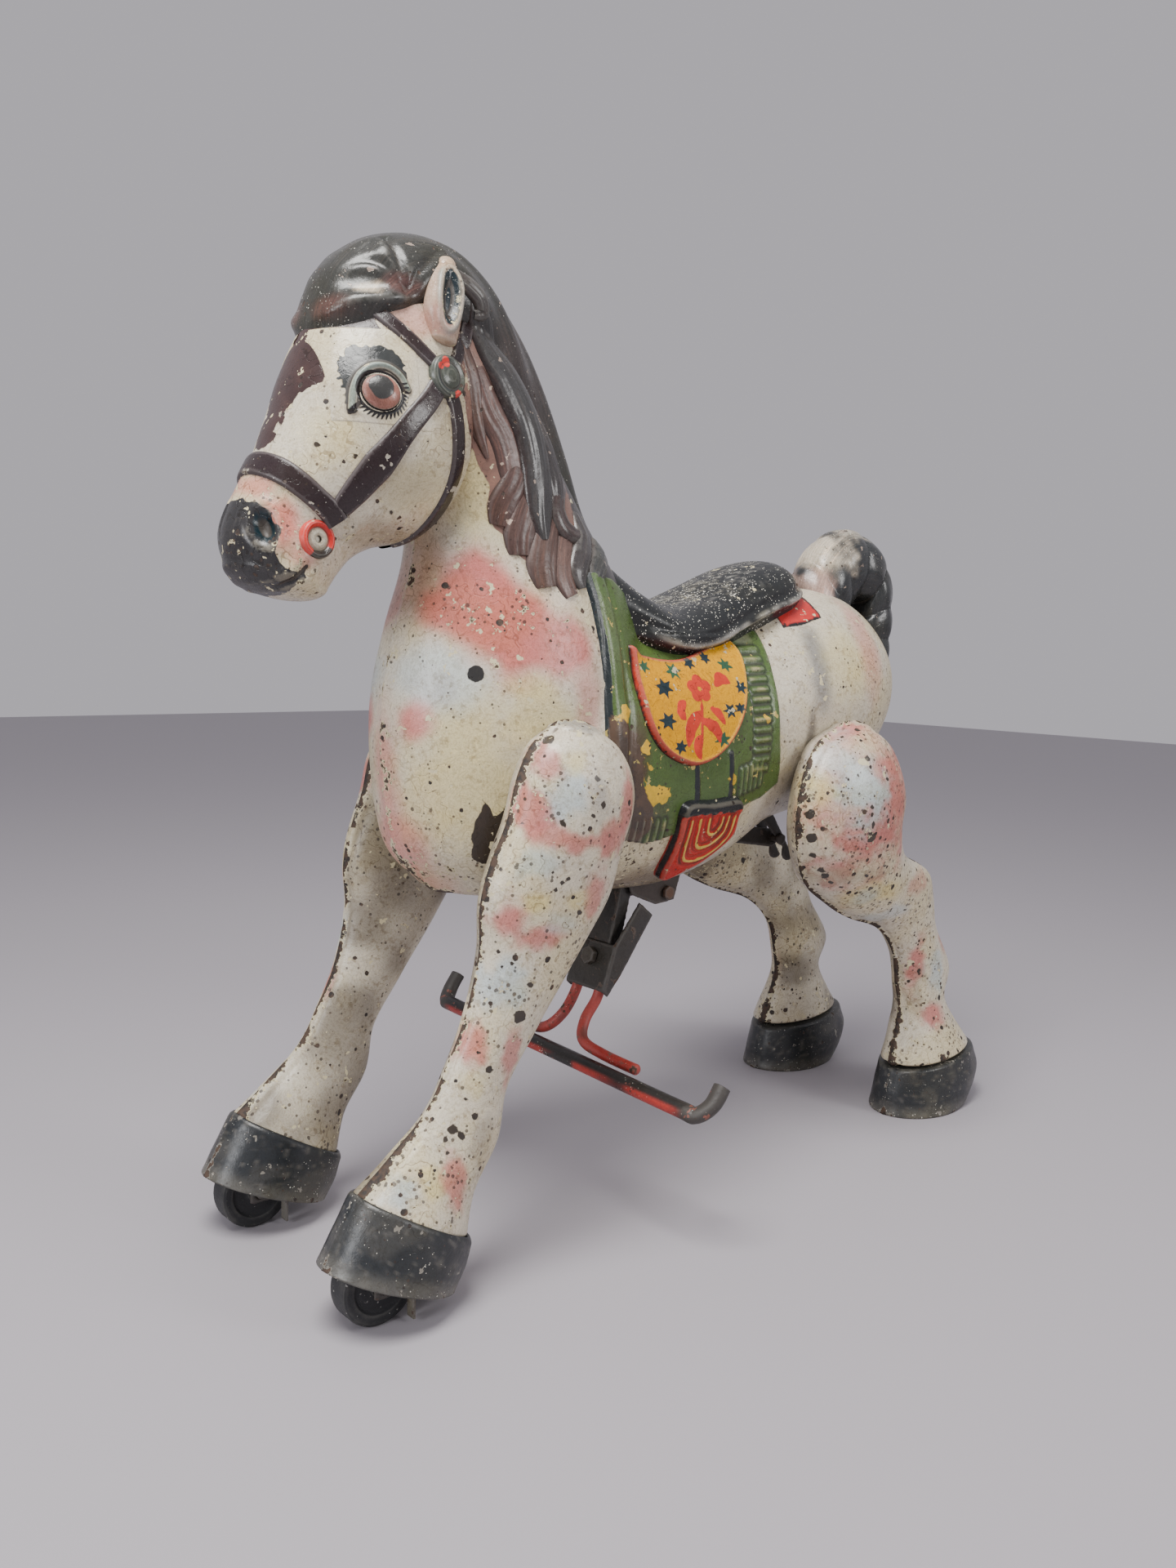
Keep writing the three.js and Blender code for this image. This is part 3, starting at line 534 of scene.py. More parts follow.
def enamel(name, gloss=0.32, chips=0.0, pits=0.10, stain_and_shade=0.5, primer=(0.60, 0.53, 0.33), rub=0.3,
           rubbed=(0.44, 0.39, 0.29), strands=0.0, flecks=0.0, ragged=1.0, bare=0.0, curls=0.5, shine=0.5):
    """Old brushed and sprayed enamel over primer over rusty steel."""
    paint = Finish(name)
    paint.shader.inputs["Specular IOR Level"].default_value = shine
    ink = paint.stored("ink")
    wear = paint.stored("wear")
    edge = paint.stored("edge")
    broad = paint.noise(11, 4, 0.6)
    middling = paint.noise(48, 5, 0.65)
    fine = paint.noise(230, 4, 0.6)
    grit = paint.noise(850, 2, 0.6)
    bends = paint.noise(82, 1.5, 0.5)
    cluster = broad * 0.5 + middling * 0.5

    def tinted(share, below, tint):
        return paint.blend(share, below, paint.blend(1.0, below, tint, "MULTIPLY"))

    def spots(scale, share, size):
        """Round pits, in as many cells of the pattern as the share of them says."""
        cell = paint.node("ShaderNodeTexVoronoi", {}, {"Vector": paint.place, "Scale": scale})
        hue = Field(paint, cell.socket.node.outputs["Color"])
        fate = paint.node("ShaderNodeSeparateColor", {}, {"Color": hue})
        return (cell - (fate - 1 + share) * size - 0.12 + (fine - 0.5) * 0.30).step(0.03, -0.03)

    # The ground colour, yellowed, brushed on and gone grey in patches
    colour = paint.stored("ground", "Color")
    colour = tinted(broad.step(0.44, 0.60) * 0.55, colour, (1.0, 0.93, 0.66))
    colour = tinted(middling.step(0.50, 0.70) * 0.40, colour, (0.80, 0.79, 0.83))
    weave = paint.node("ShaderNodeMapping", {}, {
        "Vector": paint.noise(16, 2, out="Color"), "Scale": (70, 70, 16)})
    brush = paint.noise(1.0, 3, 0.6, weave)
    colour = tinted(brush.step(0.50, 0.62) * 0.42, colour, (0.66, 0.61, 0.54))
    colour = tinted(fine.step(0.50, 0.64) * middling.step(0.42, 0.56) * stain_and_shade, colour, (0.62, 0.56, 0.48))
    colour = tinted(grit.step(0.50, 0.62) * 0.45, colour, (0.66, 0.61, 0.55))

    # Masked shapes with crisp, slightly ragged edges
    shape = (ink + (fine - 0.5) * 2.2 * ragged + (middling - 0.5) * 2.4 * ragged).step(0.35, -0.35)
    inked = tinted(middling.step(0.4, 0.7) * 0.6, paint.stored("ink_paint", "Color"), (1.6, 1.5, 1.4))
    colour = paint.blend(shape, colour, inked)
    if strands:
        flow = paint.node("ShaderNodeMapping", {}, {
            "Vector": paint.stored("strand", "Vector"), "Scale": (0.70, 0.030, 1)})
        hair = paint.noise(1.0, 4, 0.7, flow)
        colour = tinted(hair.step(0.50, 0.66) * strands, colour, (2.6, 2.2, 2.0))
        colour = tinted(hair.step(0.48, 0.34) * strands, colour, (0.36, 0.32, 0.32))

    # Fine curling cracks with thin painted highlight lines beside them, then dark brown in the hollows:
    # painted shade in the creases, mixed with patchy grime
    curl = (bends - 0.5) * (bends - 0.5) * 1000.0 + (middling - 0.5) * 1.2
    crack = curl.step(0.16, 0.02) * broad.step(0.42, 0.56)
    colour = tinted(crack * curls, colour, (0.50, 0.44, 0.36))
    # Painted highlight: thin light lines that curl just beside the cracks
    gleam = ((bends - 0.55) * (bends - 0.55) * 1000.0).step(0.16, 0.02) * curls * 0.5
    colour = tinted(gleam, colour, (1.35, 1.32, 1.2))
    # Painted shade: the hollows and creases are darkened brown, with patches of grime mixed in
    hollow = (0.0 - edge).step(0.06, 0.7)
    grime_and_shade = (hollow * 0.8 + (middling - 0.46) * 1.3 * broad.step(0.35, 0.65)).step(0.12, 0.75)
    colour = paint.blend(grime_and_shade * stain_and_shade, colour, (0.075, 0.054, 0.038))
    ridge = (edge + (fine - 0.5) * 0.9 + (middling - 0.5) * 0.5).step(0.30, 0.75)
    colour = paint.blend(ridge * rub, colour, rubbed)

    # Flakes down to the primer, then chips and pits down to rusty steel
    flake = middling * 0.55 + fine * 0.30 + broad * 0.15 + wear * 0.22 + edge * 0.05 + chips
    thin = paint.noise(95, 3, 0.55) + wear * 0.10 + bare
    halo = flake.step(0.634, 0.644).top(thin.step(0.672, 0.682))
    colour = paint.blend(halo, colour, primer)
    pit = spots(120, (cluster - 0.5) * 1.3 + wear * 0.22 + pits, 0.80)
    dot = spots(270, (cluster - 0.5) * 1.8 + wear * 0.3 + pits * 1.5, 0.80)
    chip = flake.step(0.660, 0.670).top(pit)
    if flecks:
        bit = spots(560, (cluster - 0.5) * 1.4 + wear * 0.55 + flecks, 0.62)
        bit = bit.top(spots(300, (cluster - 0.5) * 1.2 + wear * 0.35 + flecks - 0.1, 0.60))
        colour = paint.blend(bit, colour, (0.62, 0.60, 0.52))
    rust = paint.blend(fine.step(0.4, 0.6), (0.022, 0.016, 0.013), (0.070, 0.042, 0.027))
    colour = paint.blend(chip.top(dot * 0.8), colour, rust)
    rough = fine * 0.25 + middling * 0.15 + chip * 0.35 + grime_and_shade * 0.25 + ridge * 0.15 + (gloss - 0.2)
    height = ((1 - chip) * 0.34 + (1 - halo) * 0.16 - crack * 0.10 + fine * 0.22 + brush * 0.10
              + shape * 0.12 + gleam * 0.1)
    film = 0.0009
    return paint.dress(colour, rough, height, film)


barrel_stations = [
    ((-640, 452), (-636, 392), 36), ((-618, 488), (-612, 356), 62), ((-578, 512), (-572, 322), 80),
    ((-528, 518), (-520, 305), 86), ((-470, 510), (-460, 292), 85), ((-408, 490), (-403, 264), 84),
    ((-340, 476), (-340, 252), 87, 0, 2.1), ((-270, 482), (-270, 252), 90, 0, 2.1),
    ((-210, 496), (-204, 254), 91, 0, 2.1), ((-158, 480), (-154, 266), 82),
]
neck_stations = [
    ((-117, 272), (-290, 274), 62), ((-88, 302), (-300, 306), 80), ((-76, 355), (-310, 366), 87),
    ((-75, 412), (-306, 440), 88), ((-86, 466), (-284, 506), 77), ((-100, 516), (-248, 556), 63),
    ((-101, 562), (-214, 604), 55), ((-88, 610), (-182, 648), 51), ((-62, 660), (-144, 688), 45),
]
trunk = fused("trunk", [
    swept("barrel", barrel_stations, 90, 96, 14, 12),
    swept("neck", neck_stations, 90, 96, 10, 12),
], 3.0, 10)
coat = Coat(trunk, cream)
points, side, flank = coat.points, coat.side, coat.flank
breast = ease(points[:, 0], -200, -130)
coat.lift(1.6 * bell(points[:, 1], 2.6) * breast + coat.fray(60, 2, 1.1))
for place, size, colour, strength in (
        ((-110, 55, 370), (42, 70, 70), straw, 0.75), ((-98, 40, 432), (34, 50, 26), mist, 0.75),
        ((-160, 84, 405), (34, 50, 26), straw, 0.7), ((-128, 56, 572), (36, 40, 50), straw, 0.75),
        ((-150, 81, 427), (20, 40, 12), straw, 0.8), ((-90, 42, 425), (16, 30, 16), (0.36, 0.35, 0.35), 0.45),
        ((-80, 32, 401), (15, 20, 17), pink, 0.9), ((-75, -6, 356), (22, 26, 70), pink, 0.6),
        ((-84, 6, 308), (34, 34, 30), pink, 0.65), ((-104, 0, 282), (50, 40, 26), pink, 0.5),
        ((-196, 80, 420), (16, 60, 34), pink, 0.5), ((-90, 10, 515), (22, 34, 40), pink, 0.35),
        ((-478, 80, 450), (17, 40, 58), (0.17, 0.17, 0.17), 0.75),
        ((-465, 84, 380), (8, 40, 40), (0.12, 0.11, 0.10), 0.8),
        ((-515, 84, 450), (34, 50, 40), straw, 0.6), ((-556, 75, 470), (20, 50, 60), pink, 0.5),
        # The brown patches along the bottom of the belly and low on the rump behind the hind legs are grime
        # and painted shade under the body
        ((-300, 60, 258), (150, 80, 26), (0.17, 0.125, 0.08), 0.8),
        ((-540, 60, 320), (80, 80, 40), (0.24, 0.19, 0.13), 0.7)):
    coat.puff(place, size, colour, strength)
chest_pink = rounded([
    (-92, 470), (-93, 484), (-101, 500), (-112, 516), (-122, 526), (-134, 519), (-150, 503), (-163, 489),
    (-186, 478), (-202, 462), (-200, 444), (-180, 434), (-163, 433), (-146, 436), (-130, 435), (-119, 446),
    (-106, 456)])
pink_edge = coat.within(chest_pink)
coat.haze(pink_edge, 16, pink, 0.45)
coat.haze(pink_edge + 3, 7, (0.52, 0.125, 0.108), 0.85)
coat.wear += 0.5 * bell(points[:, 1], 9) * breast
coat.wear += 0.30 * ease(points[:, 2], 330, 285) + 0.12 * (pink_edge < 0)
# A small hole in the chest, drawn as a black dot: its black is the painted shade inside the hole
dot = flank[np.argmin(gap(side, (-112, 435)))]
coat.mark(gap(flank, dot) - 6.0, (0.022, 0.021, 0.020))
bare_chest = [(-116, 353), (-119, 338), (-115, 330), (-113, 317), (-116, 304), (-124, 297),
              (-150, 298), (-160, 350), (-138, 346), (-126, 334)]
coat.mark(coat.within(bare_chest) + coat.fray(8, 3, 5), (0.030, 0.021, 0.014))
belly_seam = np.abs(points[:, 1]) - 1.4 + coat.fray(9, 6, 3) + 20 * (side[:, 1] > 300)
coat.mark(belly_seam, (0.02, 0.016, 0.014))
under_hair = [
    (-94, 672), (-100, 640), (-111, 612), (-121, 592), (-128, 568), (-134, 546), (-146, 524), (-163, 507),
    (-186, 500), (-203, 506), (-222, 512), (-260, 520), (-260, 620), (-150, 700), (-100, 700)]
hair_brown = (0.185, 0.105, 0.082)
coat.mark(coat.within(under_hair) + coat.fray(7, 9, 7) + coat.fray(22, 3, 6), hair_brown)
black_crest = coat.within([
    (-150, 700), (-178, 650), (-196, 610), (-208, 570), (-208, 535), (-214, 515), (-236, 506),
    (-330, 500), (-330, 600), (-240, 680)])
coat.ink_paint[black_crest < 0] = (0.034, 0.030, 0.030)
coat.ink = np.where(black_crest < 0, black_crest, coat.ink)
black_rim = 2.2
red_patch = coat.within([(-450, 530), (-456, 500), (-454, 478), (-480, 482), (-506, 489), (-508, 530)])
red_patch += 30 * (points[:, 2] < 440)
coat.mark(red_patch, (0.012, 0.012, 0.013))
coat.ink_paint[red_patch < -black_rim] = (0.46, 0.026, 0.022)
coat.done()
hide = enamel("hide_enamel", gloss=0.32, chips=0.010, pits=0.14, stain_and_shade=0.75, bare=0.010, curls=0.65)
trunk_skin = skin_of(trunk)
trunk_surface = surface_of(trunk_skin)
placed("trunk", trunk, hide, nodes=["body"])

# The head, pressed with the neck: flat cheeks, deep nostrils and a closed mouth. The nose and
# muzzle are sprayed dark over cream, and most of that has chipped off the forehead.
head_stations = [
    ((-48, 714), (-128, 692), 38), ((-16, 671), (-146, 640), 54), ((0, 636), (-138, 590), 60, 0, 2.2),
    ((10, 607), (-118, 553), 58, 0, 2.2), ((20, 583), (-88, 530), 50, 0, 2.2),
    ((31, 564), (-60, 522), 42), ((40, 546), (-44, 514), 37), ((46, 527), (-32, 502), 38),
    ((44, 507), (-24, 491), 36),
]
head = swept("head", head_stations, 152, 196, 8, 14)
coat = Coat(head, cream)
points, side, flank = coat.points, coat.side, coat.flank
out = flank[:, 1]
nostril = gap(side, (32, 529), (6.8, 11.5)) + 9 * (out < 10)
mouth = nearest(flank, curve(
    [(6, 37, 505), (12, 35, 499), (20, 29, 492), (28, 17, 488), (32, 0, 487)], 30))
coat.lift(
    1.3 * bell(nostril - 1.4, 0.4) - 7.5 * ease(nostril, 1.15, 0.2)
    - 2.6 * bell(mouth, 1.8) + 1.2 * bell(mouth - 6, 4)
    + 3.5 * bell(gap(flank, (-26, 37, 530)), 9)
    + 2.0 * bell(gap(side, (-36, 622)), 20) * (out > 20)
    + 2.2 * bell(gap(side, (-74, 588)), 36, 4) * ease(out, 20, 36)
    + 2.0 * bell(gap(side, (22, 600)), 9))
for place, size, colour, strength in (
        ((22, 32, 530), (15, 40, 20), pink, 0.9), ((34, 18, 556), (12, 40, 10), pink, 0.7),
        ((10, 34, 512), (14, 40, 10), pink, 0.6), ((-70, 50, 560), (34, 30, 24), straw, 0.5),
        ((-10, 40, 590), (22, 30, 24), straw, 0.45),
        ((-50, 30, 530), (40, 40, 12), (0.30, 0.24, 0.16), 0.6),
        ((-53, 55, 566), (26, 30, 20), (0.36, 0.31, 0.21), 0.5),
        ((-86, 58, 622), (14, 30, 22), (0.28, 0.24, 0.18), 0.6),
        ((-64, 50, 672), (20, 30, 16), pink, 0.5),
        ((-84, 56, 610), (10, 30, 18), (0.40, 0.34, 0.24), 0.5)):
    coat.puff(place, size, colour, strength)
patch = coat.within([
    (-62, 690), (-40, 676), (-42, 662), (-34, 656), (-25, 653), (-24, 644), (-15, 638), (-9, 632), (-6, 624),
    (2, 619), (7, 611), (13, 598), (18, 584), (60, 580), (60, 700)])
coat.mark(patch + coat.fray(9, 5, 6) + coat.fray(3, 8, 3.5), (0.040, 0.022, 0.021))
coat.wear += 0.16 * bell(patch + 3, 7)
muzzle = rounded([
    (54, 552), (40, 546), (33, 545), (28, 541), (24, 532), (26, 521), (28, 512), (22, 505),
    (12, 503), (10, 496), (16, 484), (30, 476), (60, 478)])
coat.mark(coat.within(muzzle) + coat.fray(7, 6, 7), (0.024, 0.023, 0.024))
coat.mark(mouth - 1.6, (0.03, 0.02, 0.018))
for x, z, size in (
        (1, 583, 1.9), (-6, 577, 1.2), (-21, 577, 1.5), (-4, 589, 0.9), (-12, 570, 0.8), (-59, 542, 1.2),
        (-52, 544, 1.3), (-66, 541, 0.9), (-9, 613, 1.0), (-13, 601, 0.8), (-30, 588, 0.8), (-70, 592, 1.3)):
    coat.mark(gap(side, (x, z)) - size + coat.fray(3, 2, 2), (0.035, 0.026, 0.018))
coat.ink_paint[nostril < 0.85] = (0.006, 0.018, 0.024)
coat.mark(coat.within(under_hair) + coat.fray(8, 9, 8), hair_brown)
coat.wear += 0.2 * ease(side[:, 1], 560, 530)
coat.done()
head_enamel = enamel("head_enamel", gloss=0.28, pits=0.12, stain_and_shade=0.65, curls=0.7, chips=0.004)
head_skin = skin_of(head)
head_surface = surface_of(head_skin)
placed("head", head, head_enamel, nodes=["body"])


# Each eye is pressed into the head: a ball under a heavy rolled lid, with a dark brushed brow,
# a lined rim and painted lashes.
def draped(name, surface, low, high, wide, tall, outline=None, margin=0):
    """A sheet lying on a flank over a box of the side view, cut a margin outside an outline."""
    outside = 400
    mesh = sheet_of_quads(name, wide, tall)
    co = read(mesh)
    side = np.array(low) + co[:, :2] * (np.array(high) - np.array(low))
    points = np.empty((len(side), 3))
    lost = np.zeros(len(side), bool)
    for i, (x, z) in enumerate(side):
        hit, _, _, _ = surface.ray_cast(Vector((x, outside, z)), Vector((0, -1, 0)))
        lost[i] = hit is None
        points[i] = (x, hit.y if hit else 0, z)
    move(mesh, points)
    if outline is not None:
        lost |= outline_distance(side, outline) > margin
    bm = bmesh.new()
    bm.from_mesh(mesh)
    bm.verts.ensure_lookup_table()
    bmesh.ops.delete(bm, geom=[bm.verts[i] for i in np.flatnonzero(lost)], context="VERTS")
    bmesh.ops.recalc_face_normals(bm, faces=bm.faces)
    if sum(f.normal.y for f in bm.faces) < 0:
        bmesh.ops.reverse_faces(bm, faces=bm.faces)
    bm.to_mesh(mesh)
    bm.free()
    points = read(mesh)
    for _ in range(4):
        points[:, 1] = points[:, 1] * 0.5 + neighbours(mesh, points)[:, 1] * 0.5
    move(mesh, points)
    return mesh


eye_low, eye_high = (-66, 597), (-6, 664)
eye = draped("eye", head_surface, eye_low, eye_high, 100, 112)
coat = Coat(eye, cream)
side = coat.side
ball = gap(side, (-36.5, 619), (11.8, 11.2))
lid = nearest(side, curve(
    [(-19, 607), (-20.5, 619), (-25, 629), (-33, 635.5), (-42, 636), (-50, 631), (-54, 623)]))
under = nearest(side, curve([(-19, 607), (-28, 604.5), (-38, 605), (-48, 610), (-54, 620)]))
margin = np.minimum(side - eye_low, eye_high - side).min(axis=1)
coat.lift(5.0 * np.sqrt(np.clip(1 - (ball * 0.93) ** 2, 0, 1)) + 3.2 * bell(lid, 2.1)
          + 0.6 * bell(under, 2.2) - 1.2 * bell(ball - 1.06, 0.07)
          + 0.35 - 1.6 * ease(margin, 2.5, 0))
brow = rounded([(-17, 607), (-15, 622), (-15, 637), (-20, 646), (-31, 651), (-43, 650), (-51, 644),
                (-55, 635), (-54, 627), (-50, 631), (-42, 636), (-33, 635.5), (-25, 629), (-20, 619)])
teeth = coat.fray(2.6, 4, 5) + coat.fray(7, 7, 4)
coat.spray(ease(lid, 2.6, 1.2) * (ball > 1.05), (0.24, 0.29, 0.26))
coat.spray(ease(ball, 1.0, 0.97), (0.33, 0.145, 0.115))
coat.spray(ease(ball, 1.0, 0.6) * ease(side[:, 0], -42, -30) * 0.6, (0.09, 0.045, 0.04))
coat.mark(np.maximum(coat.within(brow) + teeth, 2.1 - lid), (0.026, 0.029, 0.029))
coat.mark(gap(side, (-36, 621.5)) - 7.3 + teeth * 0.2, (0.032, 0.032, 0.031))
coat.mark(np.abs(ball - 1.13) * 11.5 - 1.7, soot)
coat.mark(np.abs(lid - 2.7) - 0.5 + 9 * (ball < 1), soot)
coat.mark(nearest(side, [(-23, 611), (-17.5, 604.5)]) - 1.3, soot)
for k in range(19):
    turn = math.radians(150 + 9.6 * k)
    root = np.array((-36.5 + 13.6 * math.cos(turn), 619 + 13.0 * math.sin(turn)))
    tip = root + 4.4 * np.array((math.cos(turn + 0.45), math.sin(turn + 0.45)))
    lash, along = path_distance(side, np.array((root, tip)))
    coat.mark(lash - 1.25 + 0.7 * along, soot)
coat.done()
eye_enamel = enamel("eye_enamel", gloss=0.24, chips=-0.01, pits=0.06, ragged=0.16, rub=0.0, stain_and_shade=0.35,
                    curls=0.4)
both_sides("{}_eye", eye, eye_enamel)


# The bridle: flat straps pressed proud of the head and brushed dark brown over cream.
def dropped(surface, points):
    """The nearest points on a surface, and its normals there."""
    found = [surface.find_nearest(Vector(p)) for p in points]
    return np.array([f[0] for f in found]), np.array([f[1] for f in found])


def laid(name, surface, path, widths, heights, long, wide, power=6, number=0):
    """A strip on a surface along a path, with its width and height given along its length."""
    sink = 0.9
    centre, normal = dropped(surface, curve(path, long))
    for _ in range(6):
        normal[1:-1] = (normal[:-2] + normal[1:-1] * 2 + normal[2:]) / 4
        centre[1:-1] = (centre[:-2] + centre[1:-1] * 2 + centre[2:]) / 4
    across = np.cross(np.gradient(centre, axis=0), normal)
    across /= np.linalg.norm(across, axis=1)[:, None]
    length = np.concatenate([[0], np.cumsum(np.linalg.norm(np.diff(centre, axis=0), axis=1))])
    mesh = sheet_of_quads(name, wide, long)
    co = read(mesh)
    share = np.linspace(0, 1, long)
    u = co[:, 0] * 2 - 1
    half = u * pick(pick(widths, share), co[:, 1]) / 2
    points, normals = dropped(surface, pick(centre, co[:, 1]) + pick(across, co[:, 1]) * half[:, None])
    for _ in range(5):
        normals = normals * 0.4 + neighbours(mesh, normals) * 0.6
    normals /= np.linalg.norm(normals, axis=1)[:, None]
    top = np.clip(1 - np.abs(u) ** power, 0, 1) ** 0.5
    rise = pick(pick(heights, share), co[:, 1]) * top
    points += normals * (rise - sink * np.abs(u) ** (4 * power))[:, None]
    move(mesh, points)
    tag(mesh, "strand", np.stack([half, pick(length, co[:, 1]), np.full(len(u), number * 9.0)], 1))
    if np.einsum("ij,ij->", read(mesh, "normal"), normals) < 0:
        mesh.flip_normals()
    return mesh


face_surface = surface_of(head_skin, trunk_skin)
nose = [(-14, 41, 534), (-8, 42, 541), (2, 42, 549), (12, 37, 558), (20, 26, 566), (26, 10, 571)]
nose_band = nose + [(27, 0, 572)] + [(x, -y, z) for x, y, z in nose[::-1]]
dark_leather = (0.026, 0.016, 0.018)
bridle_enamel = enamel("bridle_enamel", gloss=0.24, chips=-0.01, rub=0.22, primer=(0.40, 0.36, 0.29),
                       rubbed=(0.20, 0.17, 0.165), stain_and_shade=0.2, flecks=0.02, curls=0.2)
straps = [
    ("cheek_strap", [(-80, 60, 630), (-71, 61, 618), (-56, 60, 601), (-41, 57, 580), (-26, 52, 559),
                     (-15, 43, 543)], [15, 15.5, 16.5, 18, 23, 20, 15], 2.4),
    ("throat_strap", [(-89, 58, 630), (-94, 57, 617), (-98, 56, 594), (-99, 51, 578), (-97, 43, 559),
                      (-92, 30, 541), (-87, 17, 531), (-83, 5, 527)], [13, 14, 15, 17, 18], 2.6),
    ("brow_band", [(-82, 60, 642), (-70, 58, 651), (-55, 53, 664), (-43, 47, 675), (-34, 40, 684)],
     [10, 11, 11, 10], 2.2),
    ("ear_strap", [(-92, 58, 642), (-100, 56, 652), (-108, 54, 664), (-114, 50, 677), (-118, 44, 690)],
     [10, 11, 11, 10], 1.8),
]
bands = [("nose_band", nose_band, [17, 16, 18, 19, 18, 16, 17], 2.6, 170)]
for side_name, sign in (("left", 1), ("right", -1)):
    bands += [(f"{side_name}_{strap}", [(x, y * sign, z) for x, y, z in way], widths, rise, 90)
              for strap, way, widths, rise in straps]
for name, path, widths, rise, long in bands:
    strap = laid(name, face_surface, path, widths, [rise], long, 16)
    coat = Coat(strap, dark_leather)
    coat.wear += 0.12
    coat.done()
    placed(name, strap, bridle_enamel)


# A domed rosette covers the crossing of the straps, and a pressed bit ring hangs at the mouth.
def turned(name, profile, place, tilt, steps=72):
    """A round boss spun from (radius, height) points, its axis along +Y before it is tilted."""
    bm = bmesh.new()
    verts = [bm.verts.new((r, h, 0)) for r, h in profile]
    edges = [bm.edges.new(pair) for pair in zip(verts, verts[1:])]
    bmesh.ops.subdivide_edges(bm, edges=edges, cuts=3, use_grid_fill=False)
    bmesh.ops.spin(bm, geom=bm.verts[:] + bm.edges[:], axis=(0, 1, 0), cent=(0, 0, 0),
                   angle=math.tau, steps=steps, use_merge=True)
    bmesh.ops.remove_doubles(bm, verts=bm.verts, dist=0.01)
    bmesh.ops.recalc_face_normals(bm, faces=bm.faces)
    bmesh.ops.transform(bm, matrix=Matrix.Translation(place) @ tilt.to_4x4(), verts=bm.verts)
    mesh = bpy.data.meshes.new(name)
    bm.to_mesh(mesh)
    bm.free()
    return mesh


def facing(surface, place):
    """The nearest point on a surface, and a turn that takes +Y to its normal there."""
    spot, normal, _, _ = surface.find_nearest(Vector(place))
    return spot, Vector((0, 1, 0)).rotation_difference(normal).to_matrix()


boss_enamel = enamel("boss_enamel", gloss=0.25, rub=0.2, ragged=0.6, rubbed=(0.24, 0.24, 0.20), chips=0.02)
spot, tilt = facing(face_surface, (-88, 60, 637))
rosette = turned("rosette", [(0, 6.2), (4, 6.0), (7.5, 5.0), (9.0, 4.2), (10.5, 4.6), (12.3, 5.0),
                             (14, 4.0), (15, 1.5), (15, -3)], spot, tilt)
coat = Coat(rosette, (0.060, 0.070, 0.060))
face = coat.side - (spot.x, spot.z)
for x, z, size in ((3, 9.5, 3.6), (8, 6, 2.4), (-7, -11, 3.0)):
    coat.mark(gap(face, (x, z)) - size, (0.55, 0.030, 0.022))
coat.mark(np.abs(gap(face, (0, 0)) - 9.2) - 0.7, (0.03, 0.035, 0.035))
coat.done()
both_sides("{}_rosette", rosette, boss_enamel)
spot, tilt = facing(face_surface, (-1, 38, 523))
bit_ring = turned("bit_ring", [(0, -0.5), (1.9, -0.4), (2.3, 1.8), (4, 2.4), (6.2, 2.0), (7.6, 0.8),
                               (8.8, 2.2), (10.5, 3.4), (12.2, 2.4), (13, 0), (13, -4)], spot, tilt)
coat = Coat(bit_ring, (0.46, 0.41, 0.31))
face = coat.side - (spot.x, spot.z)
reach = gap(face, (0, 0))
turn = np.degrees(np.arctan2(face[:, 1], face[:, 0]))
ring = np.maximum(8.2 - reach, 0)
coat.mark(reach - 2.2, (0.01, 0.01, 0.01))
coat.mark(ring - 0.6 + 9 * ((turn > -150) & (turn < -60)), (0.52, 0.022, 0.016))
coat.mark(ring - 0.4 + 9 * ((turn < -150) | (turn > -60)), (0.03, 0.025, 0.022))
coat.done()
both_sides("{}_bit_ring", bit_ring, boss_enamel)

# The ears, pricked, each a leaf with a deep dark hollow that faces outwards.
ear = swept("ear", [
    ((-78, 664), (-98, 661), 9, 51), ((-74, 682), (-102, 679), 11, 51),
    ((-79, 700), (-105, 698), 10, 49), ((-88, 714), (-102, 714), 6, 44),
], 70, 64, 4, 7)
coat = Coat(ear, (0.46, 0.33, 0.25))
side = coat.side
hollow = np.hypot((side[:, 0] + 90 + (side[:, 1] - 690) * 0.14) / 8.6, (side[:, 1] - 690) / 21.0)
outer = ease(coat.points[:, 1], 49, 54)
coat.lift(outer * (1.2 * bell(hollow - 1.1, 0.14) - 6.5 * ease(hollow, 1.0, 0.5)))
coat.spray(bell(hollow - 1.12, 0.13) * outer, (0.26, 0.29, 0.27))
coat.puff((-80, 58, 674), (12, 30, 12), (0.46, 0.22, 0.17), 0.6)
coat.mark((hollow - 0.93) * 9 + 20 * (outer < 0.4), (0.010, 0.019, 0.024))
coat.wear += 0.3 * (hollow < 1)
coat.done()
ear_enamel = enamel("ear_enamel", gloss=0.24, flecks=0.10, ragged=0.6, pits=0.02)
both_sides("{}_ear", ear, ear_enamel)

# The hair: a cap rolled over the forehead and a thick crest down the neck, black over brown.
hair_stations = [
    ((-12, 660), (-38, 650), 26), ((-14, 682), (-56, 654), 38), ((-25, 708), (-76, 660), 45),
    ((-56, 733), (-92, 664), 48), ((-98, 741), (-110, 660), 48), ((-140, 727), (-124, 648), 43),
    ((-180, 693), (-138, 632), 34), ((-211, 652), (-156, 606), 28), ((-235, 605), (-178, 572), 27),
    ((-253, 560), (-200, 538), 29), ((-280, 522), (-230, 500), 32), ((-312, 494), (-270, 476), 32),
]
hair = swept("hair", hair_stations, 240, 130, 6, 8)
coat = Coat(hair, (0.034, 0.035, 0.032))
points, flank = coat.points, coat.flank


def ridge(high, wide, *path):
    """A ridge, or where its height is negative a groove, along a path on both flanks."""
    return high * bell(nearest(flank, curve(path, 30)), wide)


